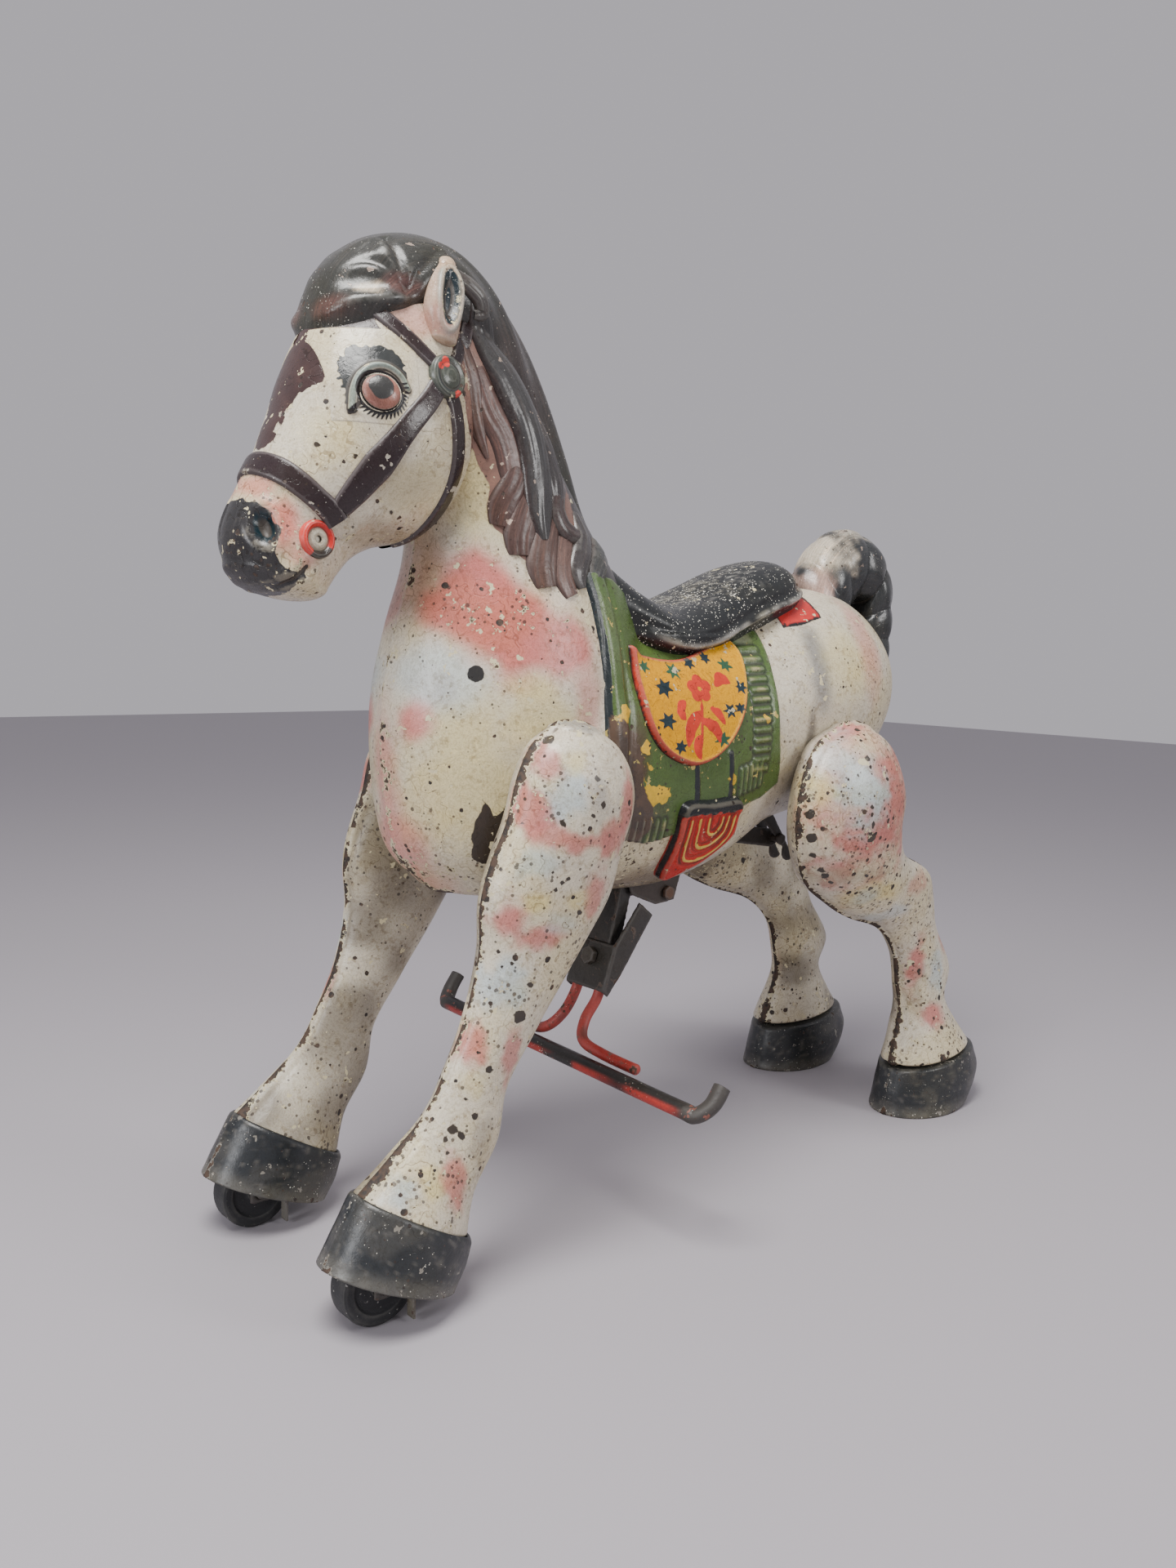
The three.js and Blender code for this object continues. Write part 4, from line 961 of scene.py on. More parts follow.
coat.lift(
    ridge(-2.5, 3.2, (-8, 15, 675), (-12, 17, 690), (-22, 24, 703), (-36, 32, 709), (-48, 40, 705),
          (-55, 46, 694))
    + ridge(-4.0, 2.6, (-58, 26, 728), (-58, 36, 718), (-59, 43, 706), (-61, 46, 690))
    + ridge(-2.6, 3.0, (-66, 48, 692), (-70, 47, 702), (-80, 45, 713), (-92, 38, 724))
    + ridge(4.0, 6.0, (-4, 5, 668), (-14, 24, 672), (-30, 38, 679), (-46, 45, 683), (-58, 49, 684))
    + ridge(2.5, 7.0, (-30, 14, 722), (-50, 26, 728), (-52, 36, 716))
    - 3.5 * bell(gap(flank, (-36, 39, 693), (17, 30, 9)), 1, 4)
    + 1.1 * np.sin(flank[:, 1] * 0.42 + 0.02 * points[:, 2]) * ease(points[:, 0], -90, -120))
coat.puff((-38, 40, 690), (10, 20, 6), (0.50, 0.42, 0.30), 0.9, 1.0)
coat.puff((-16, 22, 676), (18, 20, 10), (0.075, 0.038, 0.032), 0.9)
coat.puff((-60, 46, 694), (16, 20, 9), (0.10, 0.05, 0.045), 0.8)
coat.puff((-170, 40, 640), (60, 40, 70), (0.055, 0.042, 0.040), 0.7)
coat.wear += 0.15
coat.done()
hair_enamel = enamel("hair_enamel", gloss=0.25, rub=0.35, rubbed=(0.15, 0.145, 0.13), strands=0.35,
                     primer=(0.26, 0.20, 0.16), stain_and_shade=0.3, chips=-0.03, flecks=0.04, curls=0.2, bare=-0.02)
hair_skin = skin_of(hair)
placed("hair", hair, hair_enamel, nodes=["body"])

# The mane: locks laid over both sides of the neck. The outer ones are glossy black, the inner
# ones brown and worn thin, with scalloped tips.
neck_surface = surface_of(trunk_skin, hair_skin)
brown_enamel = enamel("mane_brown_enamel", gloss=0.34, rub=0.15, rubbed=(0.15, 0.09, 0.075), strands=0.4,
                      primer=(0.42, 0.31, 0.24), stain_and_shade=0.45, chips=-0.004)
for k, (path, widths, height, colour, finish) in enumerate((
        ([(-100, 58, 676), (-104, 57, 660), (-113, 50, 638), (-117, 53, 612), (-126, 56, 588)],
         [12, 18, 20, 14, 3], 2.2, (0.105, 0.062, 0.052), brown_enamel),
        ([(-118, 54, 650), (-128, 57, 622), (-141, 57, 604), (-147, 59, 582), (-150, 64, 558)],
         [16, 24, 26, 24, 14], 2.0, (0.105, 0.06, 0.051), brown_enamel),
        ([(-156, 59, 590), (-148, 58, 572), (-139, 56, 556), (-137, 54, 542)],
         [16, 22, 24, 15], 3.8, (0.075, 0.042, 0.036), brown_enamel),
        ([(-166, 62, 572), (-156, 65, 552), (-150, 64, 536), (-151, 60, 521)],
         [18, 24, 27, 17], 4.2, (0.075, 0.043, 0.036), brown_enamel),
        ([(-182, 64, 560), (-172, 67, 536), (-166, 70, 516), (-168, 71, 499)],
         [18, 24, 28, 18], 4.4, (0.085, 0.050, 0.041), brown_enamel),
        ([(-198, 64, 546), (-188, 69, 526), (-184, 73, 508), (-189, 75, 494)],
         [16, 20, 22, 14], 3.0, (0.12, 0.072, 0.060), brown_enamel),
        ([(-118, 40, 696), (-130, 48, 674), (-146, 52, 652), (-156, 54, 634), (-163, 55, 614),
          (-168, 58, 592), (-168, 64, 568), (-168, 68, 550), (-170, 67, 534)],
         [14, 26, 34, 38, 32, 30, 27, 22, 9], 9.0, (0.045, 0.044, 0.044), hair_enamel),
        ([(-150, 46, 662), (-168, 50, 632), (-182, 52, 604), (-188, 58, 578), (-186, 63, 556)],
         [16, 26, 26, 22, 8], 6.5, (0.042, 0.038, 0.038), hair_enamel),
        ([(-206, 46, 580), (-192, 58, 570), (-186, 62, 558), (-190, 64, 546), (-201, 62, 540),
          (-212, 54, 540)],
         [8, 16, 18, 18, 16, 6], 5.5, (0.05, 0.036, 0.034), hair_enamel),
        ([(-216, 52, 560), (-214, 60, 540), (-206, 66, 526), (-198, 71, 512), (-200, 74, 500)],
         [12, 20, 22, 20, 8], 6.0, (0.05, 0.045, 0.045), hair_enamel),
        ([(-240, 44, 540), (-232, 58, 526), (-220, 66, 514), (-213, 70, 502)],
         [12, 22, 22, 10], 6.0, (0.045, 0.048, 0.048), hair_enamel),
        ([(-96, 50, 712), (-110, 50, 704), (-120, 47, 697), (-124, 45, 688), (-117, 49, 684)],
         [8, 13, 14, 13, 7], 5.5, (0.06, 0.055, 0.052), hair_enamel))):
    lock = laid("lock", neck_surface, path, widths,
                [0.3, height * 0.8, height, height * 0.9, height * 0.5], 72, 22, power=2.2, number=k)
    strand = tagged(lock, "strand")
    coat = Coat(lock, colour)
    across = np.abs(strand[:, 0]) / pick(widths, strand[:, 1] / strand[:, 1].max()) * 2
    grain = clouds(strand * (0.55, 0.02, 1), 1, k)
    coat.lift(1.3 * (grain - 0.5) * (1 - across ** 2))
    coat.spray(ease(across, 0.62, 0.95) * 0.8, (0.030, 0.016, 0.014))
    coat.done()
    both_sides(f"{{}}_lock_{k + 1}", lock, finish)

# The saddle seat, black, dished between a low pommel and a rolled cantle. Years of riding have
# speckled it down to the primer.
seat_stations = [
    ((-236, 556), (-224, 470), 38), ((-268, 526), (-256, 450), 55), ((-298, 505), (-290, 440), 67),
    ((-328, 495), (-325, 438), 69), ((-366, 505), (-366, 442), 66), ((-406, 523), (-406, 452), 60),
    ((-446, 538), (-444, 464), 56), ((-480, 541), (-478, 474), 50), ((-506, 528), (-506, 480), 34),
]
seat = swept("seat", seat_stations, 136, 136, 8, 6)
coat = Coat(seat, (0.012, 0.014, 0.015))
points = coat.points
rim = nearest(coat.flank, curve([
    (-225, 60, 512), (-242, 63, 491), (-271, 66, 472), (-310, 69, 461), (-346, 67, 460), (-390, 62, 474),
    (-436, 56, 492), (-470, 51, 502), (-500, 36, 512), (-508, 0, 520)], 70))
dish = gap(points, (-390, 0, 520), (90, 44, 60))
coat.lift(1.8 * bell(rim, 3.0) - 2.2 * bell(rim - 8, 5) * (points[:, 2] > 470) - 5 * bell(dish, 1, 4))
coat.wear += 0.16 * bell(points[:, 0] + 345, 50) * ease(points[:, 2], 475, 495)
coat.wear += 0.05 * ease(dish, 1.3, 0.6)
coat.spray(bell(rim - 1.5, 1.5) * 0.8 * coat.blotch(9, 4, 0.15, 0.6), (0.42, 0.41, 0.37))
coat.spray(0.7 * ease(dish, 1.5, 0.4) * coat.blotch(3, 4, 0.50, 0.85), (0.30, 0.29, 0.26))
coat.done()
seat_enamel = enamel("seat_enamel", gloss=0.34, rub=0.35, rubbed=(0.32, 0.31, 0.27), flecks=0.34,
                     chips=-0.02, stain_and_shade=0.0, pits=0.0, bare=-0.02)
placed("seat", seat, seat_enamel, nodes=["body"])

# The saddle cloth, pressed 2 mm proud of the barrel: green, with a rolled front edge, short
# stitched ribs down its back and bottom, and a black line round it.
cloth_outline = np.array([
    (-203, 514), (-208, 490), (-212, 460), (-214, 430), (-213, 404), (-211, 360), (-212, 318),
    (-228, 309), (-247, 308), (-268, 303), (-296, 307), (-325, 313), (-369, 322), (-408, 331),
    (-428, 343), (-421, 383), (-421, 434), (-424, 474), (-380, 484), (-300, 484), (-240, 510)], float)
cloth = draped("cloth", trunk_surface, (-434, 296), (-199, 512), 150, 140, cloth_outline, 4)
coat = Coat(cloth, (0.075, 0.130, 0.034))
side = coat.side
edge = coat.within(cloth_outline)
front_edge = nearest(side, cloth_outline[:7])
roll = nearest(side, cloth_outline[:7] + (-13, 0))
rib_pitch = 8.3
rib_lines = []
for k in range(13):
    x, z = -402 + 0.07 * rib_pitch * k, 457 - rib_pitch * k
    rib_lines.append([(x + 9, z - 0.5), (x - 9, z + 0.5)])
for x, z, across, down, long, count in ((-372, 338, 6.5, -1.6, 20, 5), (-236, 309, 8.0, 0.6, 16, 7)):
    for k in range(count):
        foot = (x - across * k, z - down * k)
        rib_lines.append([foot, (foot[0] + 1.5, foot[1] + long)])
ribs = nearest(side, *rib_lines)
bars = nearest(side, [(-311, 368), (-316, 334)], [(-355, 372), (-358, 332)])
height = 2.4 * ease(edge, 0.8, -1.8) - 1.8 * ease(edge, 0.5, 3) + 2.6 * bell(roll, 7.5, 4)
height += 1.5 * bell(ribs, 1.9) - 0.7 * bell(ribs - 4.2, 1.2) + 1.2 * ease(bars, 4.2, 2.6)
height -= 1.5 * bell(roll - 12, 3) * (side[:, 0] < -214)
coat.lift(height)
coat.puff((-236, 90, 372), (20, 60, 34), (0.085, 0.050, 0.028), 0.95, 0.9)
coat.puff((-250, 86, 326), (30, 60, 20), (0.090, 0.075, 0.050), 0.9, 0.8)
coat.puff((-222, 80, 470), (12, 60, 40), (0.12, 0.17, 0.075), 0.7, 0.4)
coat.puff((-395, 80, 468), (16, 60, 10), (0.35, 0.38, 0.26), 0.8, 0.8)
# Painted shade: the grooves beside the ribs are sprayed dark green
coat.spray(0.85 * bell(ribs - 3.6, 1.3), (0.020, 0.030, 0.022))
coat.spray(bell(ribs, 1.3) * coat.blotch(10, 7, 0.50, 0.75) * 0.8, (0.50, 0.44, 0.22))
coat.mark(np.maximum(front_edge - 5.5, edge - 9), (0.012, 0.018, 0.020))
coat.mark(np.abs(edge) - 1.3, (0.014, 0.018, 0.018))
coat.mark(bars - 3.0, (0.012, 0.016, 0.020))
flake = coat.fray(9, 8, 7) + coat.fray(3, 9, 5)
bare_steel = [(-212, 408), (-228, 402), (-241, 392), (-250, 372), (-249, 354), (-261, 337),
              (-268, 322), (-262, 306), (-212, 306)]
coat.mark(coat.within(bare_steel) + flake, (0.075, 0.048, 0.032))
deep_in = (coat.ink < -9) & (edge < -10) & (side[:, 0] > -268)
coat.ink_paint[deep_in] = (0.052, 0.036, 0.027)
old_yellow = [(-252, 357), (-262, 351), (-284, 350), (-285, 333), (-266, 337), (-256, 345)]
coat.mark(coat.within(old_yellow) + flake * 0.8, (0.60, 0.38, 0.020))
for x, z, size in ((-232, 407, 6), (-222, 402, 4), (-253, 380, 5), (-360, 352, 4), (-258, 366, 4),
                   (-404, 398, 3)):
    coat.mark(gap(side, (x, z)) - size + flake, (0.58, 0.36, 0.025))
coat.wear += 0.25 * bell(gap(side, (-238, 370)), 40)
coat.done()
cloth_enamel = enamel("cloth_enamel", gloss=0.30, rub=0.25, rubbed=(0.34, 0.36, 0.26), stain_and_shade=0.25,
                      primer=(0.46, 0.36, 0.10), chips=-0.004, pits=0.10, ragged=0.7)
both_sides("{}_cloth", cloth, cloth_enamel)

# The saddle flap, yellow with a red border, printed with stars round a flower.
flap_outline = rounded([
    (-248, 459), (-247, 440), (-248, 420), (-254, 398), (-266, 381), (-284, 370), (-308, 364),
    (-334, 369), (-356, 383), (-374, 405), (-385, 432), (-389, 452), (-382, 464), (-366, 461),
    (-340, 453), (-312, 447), (-285, 447), (-262, 451)], 160)
flap = draped("flap", trunk_surface, (-394, 358), (-242, 468), 150, 108, flap_outline, 3)
coat = Coat(flap, (0.70, 0.33, 0.0))
side = coat.side
edge = coat.within(flap_outline)
coat.lift(7.0 * ease(edge, 1.2, -3.2) ** 0.6 - 2.5 * ease(edge, 0.3, 2.5) + 0.7 * bell(edge + 3.5, 1.6))
red_print = (0.50, 0.040, 0.022)
back_corner = ease(side[:, 0], -370, -378) * ease(side[:, 1], 400, 420)
coat.spray(ease(edge, -4.2, -3.6) * (1 - back_corner), red_print)
coat.spray(ease(edge, -0.9, -0.4), (0.02, 0.02, 0.02))
for k, (x, z, size) in enumerate((
        (-259, 440, 5.5), (-277, 424, 7.4), (-275, 400, 7.2), (-294, 436, 6.5), (-288, 380, 5.6),
        (-341, 446, 5.0), (-362, 441, 5.6), (-372, 424, 5.6), (-353, 406, 6.0), (-340, 384, 6.4),
        (-318, 442, 5.2), (-366, 408, 4.6))):
    corners = []
    for i in range(12):
        turn = i * math.pi / 6 + 0.2 * k
        reach = size * (0.5 if i % 2 else 1.12)
        corners.append((x + 1.5 * reach * math.sin(turn), z + reach * math.cos(turn)))
    coat.mark(coat.within(corners) + coat.fray(3, 20 + k, 0.9),
              (0.016, 0.030, 0.038) if k % 3 else (0.030, 0.085, 0.045))
flower_x, flower_z = -320, 423
petals = np.radians(np.arange(5) * 72 + 90)
for a in petals:
    middle = (flower_x + 8.5 * math.cos(a), flower_z + 6.0 * math.sin(a))
    coat.mark(gap(side, middle, (1.4, 1)) - 4.6, red_print)
for path, wide in (
        ([(-319, 414), (-316, 400), (-312, 372)], 1.4), ([(-318, 406), (-303, 396), (-297, 380)], 6.2),
        ([(-315, 400), (-331, 393), (-338, 382)], 5.2), ([(-340, 425), (-350, 431), (-360, 427)], 4.2),
        ([(-312, 388), (-308, 380), (-312, 370)], 4.6), ([(-299, 414), (-292, 408), (-296, 400)], 4.6),
        ([(-328, 408), (-338, 404), (-344, 396)], 3.4)):
    leaf, along = path_distance(side, curve(path, 20))
    coat.mark(leaf - wide * (1 - (2 * along - 1) ** 2) - 0.4 + coat.fray(4, 12, 1.6), red_print)
for a in petals:
    vein = [(flower_x + long * math.cos(a), flower_z + tall * math.sin(a))
            for long, tall in ((4, 3), (11, 8))]
    coat.mark(nearest(side, vein) - 0.6, (0.60, 0.54, 0.46))
coat.done()
flap_enamel = enamel("flap_enamel", gloss=0.26, rub=0.15, stain_and_shade=0.3, chips=-0.006, pits=0.06, ragged=0.22,
                     shine=0.22, primer=(0.50, 0.44, 0.28))
both_sides("{}_flap", flap, flap_enamel)

# The stirrup bag pressed below the flap, red with nested yellow arches and a black top.
bag_outline = rounded([
    (-300, 334), (-334, 335), (-369, 335), (-373, 318), (-373, 302), (-349, 284), (-330, 276),
    (-311, 269), (-301, 280), (-299, 305)], 90)
bag = draped("bag", trunk_surface, (-378, 264), (-294, 340), 96, 90, bag_outline, 3)
coat = Coat(bag, (0.50, 0.026, 0.018))
side = coat.side
edge = coat.within(bag_outline)
arches = nearest(side, *(curve(path, 30) for path in (
    [(-308, 322), (-310, 300), (-318, 289), (-340, 290), (-361, 304), (-363, 322)],
    [(-318, 322), (-320, 306), (-327, 299), (-341, 301), (-352, 309), (-354, 322)],
    [(-329, 322), (-331, 312), (-338, 309), (-345, 314), (-346, 322)])))
coat.lift(9.0 * ease(edge, 1.0, -3.5) ** 0.6 - 2.0 * ease(edge, 0.3, 2.5) + 1.0 * bell(arches, 1.4)
          - 0.8 * bell(arches - 4, 1.5) + 1.4 * ease(side[:, 1], 322, 327))
# Painted shade, in patches: the grooves beside the arches are sprayed dark red
coat.spray(0.8 * bell(arches - 3.4, 1.2) * coat.blotch(12, 3, 0.3, 0.6), (0.09, 0.020, 0.016))
coat.mark(arches - 1.1 + coat.fray(4, 14, 1.4), (0.58, 0.38, 0.05))
coat.mark(326.5 - side[:, 1] - coat.fray(6, 15, 4), (0.016, 0.018, 0.02))
coat.mark(np.abs(edge + 0.4) - 0.9, (0.02, 0.016, 0.014))
coat.done()
both_sides("{}_bag", bag, flap_enamel)

# The tail, arched off the rump and hanging to a blunt tip, twisted like a thick rope of hair.
tail_stations = [
    ((-532, 505), (-580, 462), 28), ((-550, 542), (-602, 494), 29), ((-582, 572), (-618, 510), 29),
    ((-622, 577), (-630, 508), 30), ((-658, 552), (-628, 496), 30), ((-674, 505), (-622, 478), 29),
    ((-672, 455), (-620, 438), 27), ((-662, 405), (-616, 402), 23), ((-652, 378), (-620, 382), 16),
]
tail = swept("tail", tail_stations, 180, 100, 4, 10)
coat = Coat(tail, (0.030, 0.033, 0.035))
strand = tagged(tail, "strand")
twist = strand[:, 1] * 0.105 + strand[:, 2] * 1.15
coat.lift(3.4 * (np.abs(np.cos(twist)) ** 0.55 - 0.62) + 0.4 * np.sin(strand[:, 2] * 9 + strand[:, 1] * 0.05))
coat.puff((-566, 14, 560), (26, 40, 24), (0.56, 0.50, 0.40), 0.95, 1.3)
coat.puff((-610, 10, 584), (30, 40, 12), (0.50, 0.46, 0.38), 0.8, 1.6)
coat.puff((-548, 26, 520), (14, 24, 22), (0.52, 0.36, 0.30), 0.8, 0.8)
coat.wear += 0.5 * bell(gap(coat.points, (-590, 10, 575)), 40)
coat.done()
placed("tail", tail, hair_enamel, nodes=["body"])

# The legs, each two half shells crimped together along a flange at the front and back, dappled
# pink, blue-grey and straw, and chipped to the steel where they have been knocked.
front_stations = [
    ((-157, 399), (-195, 397), 17, 94), ((-139, 388), (-213, 384), 27, 96),
    ((-126, 366), (-226, 361), 33, 97), ((-119, 340), (-228, 336), 34, 97),
    ((-108, 312), (-220, 306), 33, 95), ((-98, 278), (-211, 270), 29, 93),
    ((-98, 240), (-182, 228), 25, 91), ((-87, 195), (-147, 180), 21, 90),
    ((-70, 158), (-123, 142), 18, 90), ((-51, 130), (-114, 104), 20, 90),
    ((-25, 108), (-93, 72), 25, 90), ((-2, 90), (-86, 44), 32, 90),
]
rear_stations = [
    ((-484, 391), (-518, 391), 18, 100), ((-450, 375), (-546, 372), 31, 102),
    ((-430, 336), (-564, 332), 39, 104), ((-432, 290), (-568, 298), 38, 101),
    ((-456, 251), (-590, 269), 33, 95), ((-520, 216), (-644, 247), 27, 88),
    ((-582, 194), (-664, 221), 22, 83), ((-615, 164), (-678, 184), 19, 80),
    ((-626, 130), (-708, 140), 20, 79), ((-631, 100), (-696, 108), 22, 81),
    ((-614, 52), (-730, 62), 34, 85),
]
leg_enamel = enamel("leg_enamel", gloss=0.36, chips=0.012, pits=0.21, stain_and_shade=0.8, curls=0.7)
sky = (0.48, 0.535, 0.53)
rose = (0.52, 0.185, 0.160)
front_patches = [
    ((-148, 356), (17, 22), sky, 0.95), ((-156, 378), (12, 9), straw, 0.7),
    ((-138, 378), (9, 18), rose, 0.8), ((-124, 346), (9, 17), rose, 0.95),
    ((-172, 356), (11, 22), (0.27, 0.26, 0.25), 0.5), ((-190, 322), (15, 13), rose, 0.9),
    ((-204, 346), (9, 20), rose, 0.9), ((-160, 321), (22, 8), rose, 0.9),
    ((-135, 326), (14, 9), rose, 0.8), ((-128, 306), (15, 12), sky, 0.9),
    ((-110, 269), (10, 15), rose, 0.95), ((-134, 254), (20, 9), rose, 0.9),
    ((-178, 280), (14, 20), rose, 0.8), ((-127, 281), (10, 8), straw, 0.8),
    ((-160, 278), (12, 9), straw, 0.7), ((-150, 262), (14, 9), sky, 0.6),
    ((-110, 222), (18, 16), sky, 0.95), ((-86, 180), (9, 15), rose, 0.9),
    ((-114, 166), (8, 20), rose, 0.8), ((-86, 152), (10, 12), straw, 0.5),
    ((-24, 93), (12, 12), sky, 0.9), ((-46, 95), (10, 12), straw, 0.8), ((-64, 94), (10, 18), rose, 0.85),
    ((-176, 400), (20, 8), (0.20, 0.20, 0.19), 0.7), ((-88, 112), (12, 20), (0.26, 0.22, 0.16), 0.5),
]
front_knocks = [
    (-146, 393, 5.0), (-142, 334, 3.0), (-141, 288, 1.8), (-146, 293, 1.2), (-98, 284, 4.0),
    (-119, 200, 5.2), (-126, 219, 2.4), (-95, 163, 2.3), (-77, 145, 2.3), (-67, 127, 3.2),
    (-72, 122, 2.4), (-61, 121, 1.6), (-104, 246, 1.7), (-137, 300, 1.4), (-150, 296, 2.0),
    (-112, 236, 1.3), (-88, 176, 1.6), (-104, 318, 2.2), (-107, 303, 1.8), (-165, 268, 2.6),
    (-60, 112, 1.6), (-40, 104, 1.3), (-84, 132, 2.6), (-170, 366, 2.0), (-164, 352, 1.8),
    (-176, 346, 2.2), (-180, 362, 1.5), (-168, 338, 1.5), (-184, 340, 1.3),
]
rear_patches = [
    ((-492, 330), (70, 78), rose, 1.0), ((-470, 342), (31, 36), sky, 1.0),
    ((-486, 374), (30, 10), cream, 0.5), ((-434, 345), (11, 20), straw, 0.7),
    ((-445, 368), (16, 14), (0.55, 0.54, 0.51), 0.8), ((-515, 130), (10, 10), straw, 0.3),
    ((-533, 240), (48, 12), straw, 0.9), ((-517, 238), (18, 9), sky, 0.8),
    ((-578, 250), (26, 22), cream, 0.9), ((-600, 240), (24, 12), rose, 0.5),
    ((-566, 212), (30, 10), sky, 0.6), ((-634, 150), (10, 34), rose, 0.95),
    ((-664, 140), (14, 24), sky, 0.9), ((-655, 97), (18, 14), rose, 0.95),
    ((-690, 108), (14, 22), cream, 0.7), ((-622, 64), (14, 12), cream, 0.9),
    ((-690, 178), (16, 20), rose, 0.8), ((-480, 262), (44, 9), (0.30, 0.26, 0.17), 0.55),
    ((-640, 118), (9, 30), (0.30, 0.25, 0.17), 0.4),
]
rear_knocks = [
    (-434, 352, 4.4), (-431, 333, 3.6), (-431, 318, 4.2), (-433, 300, 4.8), (-438, 284, 3.2),
    (-487, 297, 5.6), (-483, 309, 2.6), (-479, 367, 3.0), (-455, 262, 4.0), (-449, 269, 3.4),
    (-463, 256, 2.6), (-479, 326, 2.4), (-451, 328, 1.6), (-455, 344, 1.5), (-466, 352, 1.3),
    (-499, 348, 1.7), (-506, 285, 2.2), (-497, 262, 2.6), (-520, 268, 2.6), (-512, 246, 3.0),
    (-476, 250, 2.2), (-540, 230, 2.4), (-556, 226, 2.6), (-445, 290, 1.8), (-668, 112, 2.6),
    (-674, 122, 1.8), (-650, 166, 1.8), (-470, 384, 2.0), (-448, 381, 2.6), (-588, 214, 1.8),
]
for end, stations, patches, knocks in (
        ("front", front_stations, front_patches, front_knocks),
        ("rear", rear_stations, rear_patches, rear_knocks)):
    leg = swept(end + "_leg", stations, 176, 96, 5, 8)
    coat = Coat(leg, cream)
    strand = tagged(leg, "strand")
    fore = strand[:, 2] / 3
    down = strand[:, 1] / strand[:, 1].max()
    half = pick([row[2] for row in stations], down)
    crimp = np.minimum(fore, 1 - fore) * math.pi * half
    coat.lift(1.7 * bell(crimp, 2.0) - 0.8 * bell(crimp - 4.5, 1.8)
              + coat.fray(26, 5, 1.2))
    coat.wear += 0.75 * bell(crimp, 4.5) + 0.16 * clouds(coat.points, 45, 9) ** 2
    outer = ease(coat.points[:, 1] - pick([row[3] for row in stations], down), -9, -1)
    blur = coat.fray(14, 3, 0.9) + coat.fray(5, 4, 0.6)
    for place, size, colour, strength in patches:
        away = gap(coat.side, place, size) + blur
        coat.spray(strength * outer * (1 - ease(away, 0.4, 1.3)), colour)
    ragged = coat.fray(3.2, 7, 3.4)
    for x, z, size in knocks:
        middle = coat.points[np.argmin(gap(coat.side, (x, z)) + 40 * (outer < 0.3))]
        coat.mark(gap(coat.points, middle) - size + ragged, (0.034, 0.026, 0.019))
    coat.wear += 0.12 * ease(coat.points[:, 2], 120, 70)
    if end == "front":
        coat.wear += 0.22 * bell(gap(coat.side, (-172, 352)), 20) * outer
    # The inner faces of the legs, under the body and towards the other leg, are sprayed a patchy dark brown:
    # dirt, and painted shade
    coat.spray(0.75 * (1 - outer) * coat.blotch(30, 8, 0.25, 0.7), (0.16, 0.135, 0.10))
    coat.done()
    both_sides(end + "_{}_shank", leg, leg_enamel, end + "_{}_leg")

# The hooves: heavy pressed cups, black, bruised and dusty. The front pair are open below for
# the wheels, the rear pair closed and flat.
hoof_enamel = enamel("hoof_enamel", gloss=0.36, rub=0.4, rubbed=(0.15, 0.14, 0.12), stain_and_shade=0.35,
                     primer=(0.20, 0.185, 0.155), chips=0.006, flecks=0.08)
sheet_steel = 0.0026
for end, stations, open_below in (
        ("front", [((-2, 92), (-88, 42), 33.5, 90), ((1, 90), (-89, 38), 35.5, 90),
                   ((5, 83), (-88, 34), 36.3, 90), ((13, 68), (-84, 24), 38, 90),
                   ((24, 48), (-74, 9), 40, 90)], True),
        ("rear", [((-617, 46), (-735, 58), 35.5, 85), ((-614, 44), (-738, 57), 37.5, 85),
                  ((-612, 37), (-742, 49), 38.6, 85), ((-609, 24), (-747, 35), 41, 85),
                  ((-607, 10), (-737, 15), 42, 85), ((-605.5, 2), (-724, 2), 42, 85),
                  ((-606.5, 0), (-720, 0), 41, 85)], False)):
    hoof = swept(end + "_hoof", stations, 40, 96)
    if open_below:
        bm = bmesh.new()
        bm.from_mesh(hoof)
        bmesh.ops.delete(bm, geom=[f for f in bm.faces if len(f.verts) > 8], context="FACES_ONLY")
        bm.to_mesh(hoof)
        bm.free()
    coat = Coat(hoof, (0.017, 0.020, 0.023))
    points = coat.points
    toe = np.abs(points[:, 1] - stations[0][3]) + 30 * (points[:, 0] < points[:, 0].mean())
    low_edge = points[:, 2] - ((0.4 * (points[:, 0] + 74) + 9) if open_below else 0)
    coat.lift(0.9 * bell(toe, 1.8) + coat.fray(14, 2, 0.8))
    coat.spray(0.75 * ease(low_edge, 16, 2) * (0.4 + clouds(points, 9, 6)), (0.12, 0.115, 0.10))
    coat.spray(0.45 * coat.blotch(15, 8, 0.5, 0.8), (0.075, 0.073, 0.066))
    coat.spray(0.6 * coat.blotch(3, 5, 0.6, 0.95), (0.11, 0.105, 0.095))
    coat.wear += 0.35 * bell(toe, 5) + 0.3 * ease(low_edge, 8, 0)
    coat.done()
    for cup in both_sides(end + "_{}_cup", hoof, hoof_enamel, end + "_{}_hoof"):
        if open_below:
            wall = cup.modifiers.new("wall", "SOLIDIFY")
            wall.thickness = sheet_steel
            wall.offset = -1

# The front wheels, solid rubber with a dished face, grey with floor dust on the tread.
rubber = Finish("wheel_rubber")
dust = rubber.noise(70, 4, 0.65)
grain = rubber.noise(700, 3, 0.6)
worn = (rubber.stored("edge") * 0.8 + dust - 0.35).step(0.25, 0.7)
speck = rubber.noise(330, 2, 0.5).step(0.70, 0.74)
rubber_look = rubber.blend(worn * 0.6, (0.020, 0.021, 0.023), (0.085, 0.082, 0.075))
rubber_look = rubber.blend(speck * 0.7, rubber_look, (0.40, 0.39, 0.36))
rubber.dress(rubber_look, dust * 0.25 + 0.5, grain + dust * 0.5, 0.0004)
wheel_radius = (wheel_high[2] - wheel_low[2]) / 2 * 1000
wheel_half = (wheel_high[1] - wheel_low[1]) / 2 * 1000
bore = (4.4, -wheel_half)
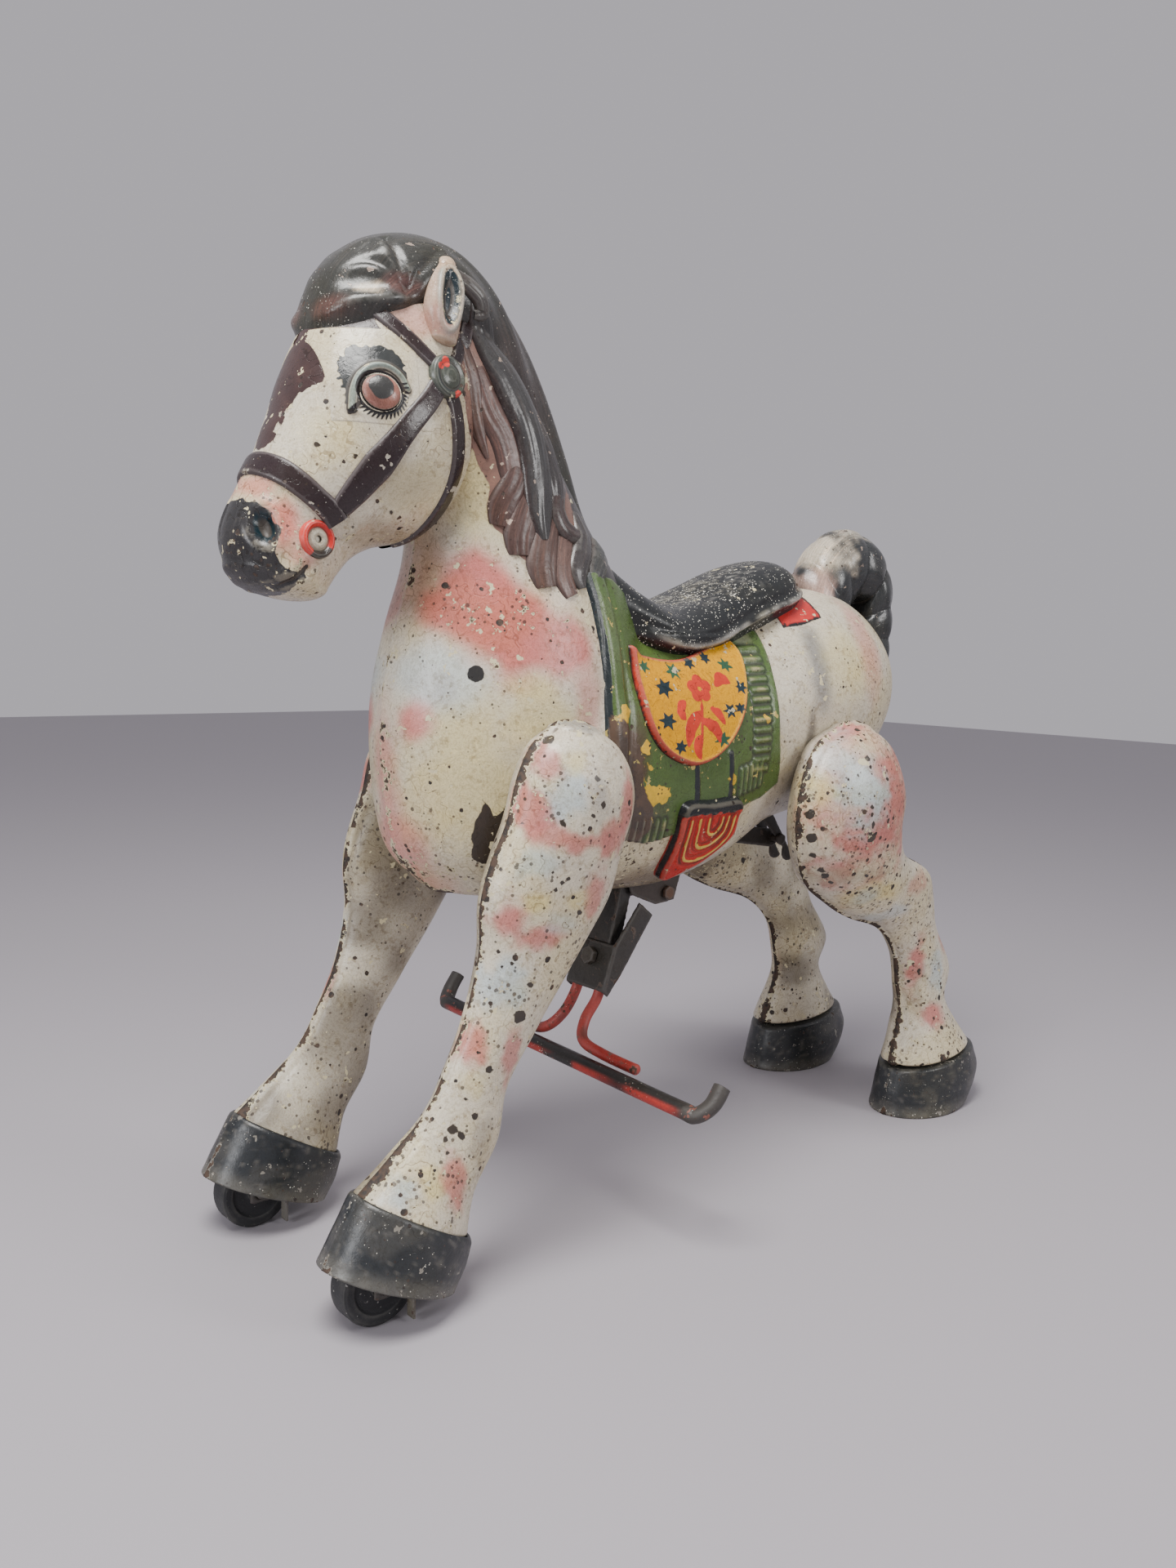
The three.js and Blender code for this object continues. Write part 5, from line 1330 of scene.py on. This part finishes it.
tread = [bore, (8, -wheel_half), (9.2, -wheel_half + 1.6), (19, -wheel_half + 1.6),
         (21, -wheel_half), (wheel_radius - 2.2, -wheel_half), (wheel_radius - 0.5, -wheel_half + 0.9),
         (wheel_radius, -wheel_half + 2.6)]
tread = tread + [(r, -h) for r, h in tread[::-1]] + [bore]
for side_name, sign in (("left", 1), ("right", -1)):
    hub = Vector((-axle_back, wheel_out * sign, wheel_radius))
    tyre = turned("tyre", tread, hub, Matrix.Identity(3), 96)
    sharpness(tyre)
    placed(f"{side_name}_tyre", tyre, rubber.material, body=f"{side_name}_wheel",
           nodes=[f"front_{side_name}_wheel"])

# The stirrup gear: black iron plates, brackets and bolts, greasy and rusty, with the paint worn
# off their edges. Each takes its shape from the solid model, with its corners rounded over.
iron_enamel = enamel("iron_enamel", gloss=0.42, rub=0.35, rubbed=(0.11, 0.10, 0.09), stain_and_shade=0.5,
                     primer=(0.085, 0.060, 0.045), chips=0.03)
iron_parts = [(name.format(side_name), voxel, colour) for name, voxel, colour in (
    ("lever", 1.5, (0.022, 0.022, 0.022)), ("sleeve", 1.4, (0.030, 0.029, 0.028)),
    ("sleeve_nut", 0.6, (0.06, 0.055, 0.05)), ("belly_bolt", 0.7, (0.14, 0.065, 0.032)),
    ("{}_belly_bracket", 1.3, (0.040, 0.030, 0.024)), ("{}_hanger", 1.3, (0.022, 0.020, 0.019)),
    ("link", 1.6, (0.025, 0.023, 0.022)), ("link_bolt", 0.7, (0.05, 0.042, 0.036)),
    ("front_{}_fork", 1.4, (0.05, 0.045, 0.04)), ("front_{}_axle", 0.7, (0.10, 0.09, 0.08)),
    ("front_{}_drag_tab", 0.6, (0.20, 0.19, 0.17))) for side_name in (
    ("left", "right") if "{}" in name else ("",))]
for name, voxel, colour in iron_parts:
    bm = bmesh.new()
    bm.from_mesh(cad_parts[name].data)
    bmesh.ops.remove_doubles(bm, verts=bm.verts, dist=1e-6)
    bmesh.ops.scale(bm, vec=(1000, 1000, 1000), verts=bm.verts)
    bmesh.ops.translate(bm, vec=(-shift, 0, 0), verts=bm.verts)
    plain = bpy.data.meshes.new(name)
    bm.to_mesh(plain)
    bm.free()
    worked = fused(name + "_worked", [plain], voxel, 2)
    coat = Coat(worked, colour)
    coat.lift(coat.fray(4, 3, 0.25))
    coat.spray(0.45 * clouds(coat.points, 12, 5), (0.045, 0.033, 0.026))
    coat.done()
    placed(name + "_worked", worked, iron_enamel, nodes=[name])


# The two rods that carry the stirrup bar are red over rust, and the bar itself black on top with
# red left on its front face. It is bent up and back at both ends for the feet.
def bent(name, path, radius, long, sides, flat=1.0):
    """A bar of round section along a path, squashed to an oval where flat is under 1."""
    centre = curve(path, long)
    mesh = sheet_of_quads(name, sides, long)
    co = read(mesh)
    run = np.gradient(centre, axis=0)
    run /= np.linalg.norm(run, axis=1)[:, None]
    out = np.cross(run, (0.25, 0.0, 1.0))
    out /= np.maximum(np.linalg.norm(out, axis=1), 1e-6)[:, None]
    lift = np.cross(out, run)
    turn = co[:, 0] * 2 * math.pi
    length = np.linalg.norm(np.diff(centre, axis=0), axis=1).sum()
    end = np.minimum(co[:, 1], 1 - co[:, 1]) * length
    r = radius * np.sqrt(np.clip(1 - (1 - np.clip(end / (radius * 0.6), 0, 1)) ** 2, 0, 1))
    points = pick(centre, co[:, 1]) + pick(out, co[:, 1]) * (r * np.cos(turn))[:, None]
    move(mesh, points + pick(lift, co[:, 1]) * (r * flat * np.sin(turn))[:, None])
    return closed(mesh)


rod_enamel = enamel("rod_enamel", gloss=0.36, rub=0.08, rubbed=(0.30, 0.26, 0.22), stain_and_shade=0.35,
                    primer=(0.20, 0.07, 0.05), chips=0.012, flecks=0.05)
for side_name, sign in (("left", 1), ("right", -1)):
    rod = bent("rod", [(-289, sign * 14, 186), (-286, sign * 14, 178), (-280, sign * 14, 160),
                       (-267, sign * 14, 143), (-257, sign * 24, 130), (-258, sign * 48, 124),
                       (-260, sign * 88, 121)], 4.6, 150, 28)
    coat = Coat(rod, (0.38, 0.034, 0.026))
    coat.spray(0.8 * coat.blotch(16, 4, 0.5, 0.75), (0.11, 0.030, 0.025))
    coat.wear += 0.3 * clouds(coat.points, 14, 6)
    coat.done()
    placed(f"{side_name}_rod", rod, rod_enamel, nodes=[f"{side_name}_stirrup_rod"])
bar = bent("bar", [(-268, -171, 142), (-258, -170, 129), (-249, -162, 121), (-247, -148, 120),
                   (-247, -70, 118), (-247, 0, 116), (-247, 70, 113.5), (-247, 148, 111),
                   (-249, 162, 110), (-258, 170, 118), (-268, 171, 131)], 7.2, 330, 36, 0.85)
coat = Coat(bar, (0.022, 0.020, 0.019))
low = ease(coat.points[:, 2] - np.interp(coat.points[:, 1], [-171, 171], [120, 111]), 3.5, 0.5)
low *= ease(np.abs(coat.points[:, 1]), 158, 140)
coat.spray(low * coat.blotch(22, 7, 0.25, 0.5), (0.40, 0.036, 0.027))
coat.wear += 0.15 * clouds(coat.points, 18, 8)
coat.done()
placed("bar", bar, rod_enamel, nodes=["foot_bar"])
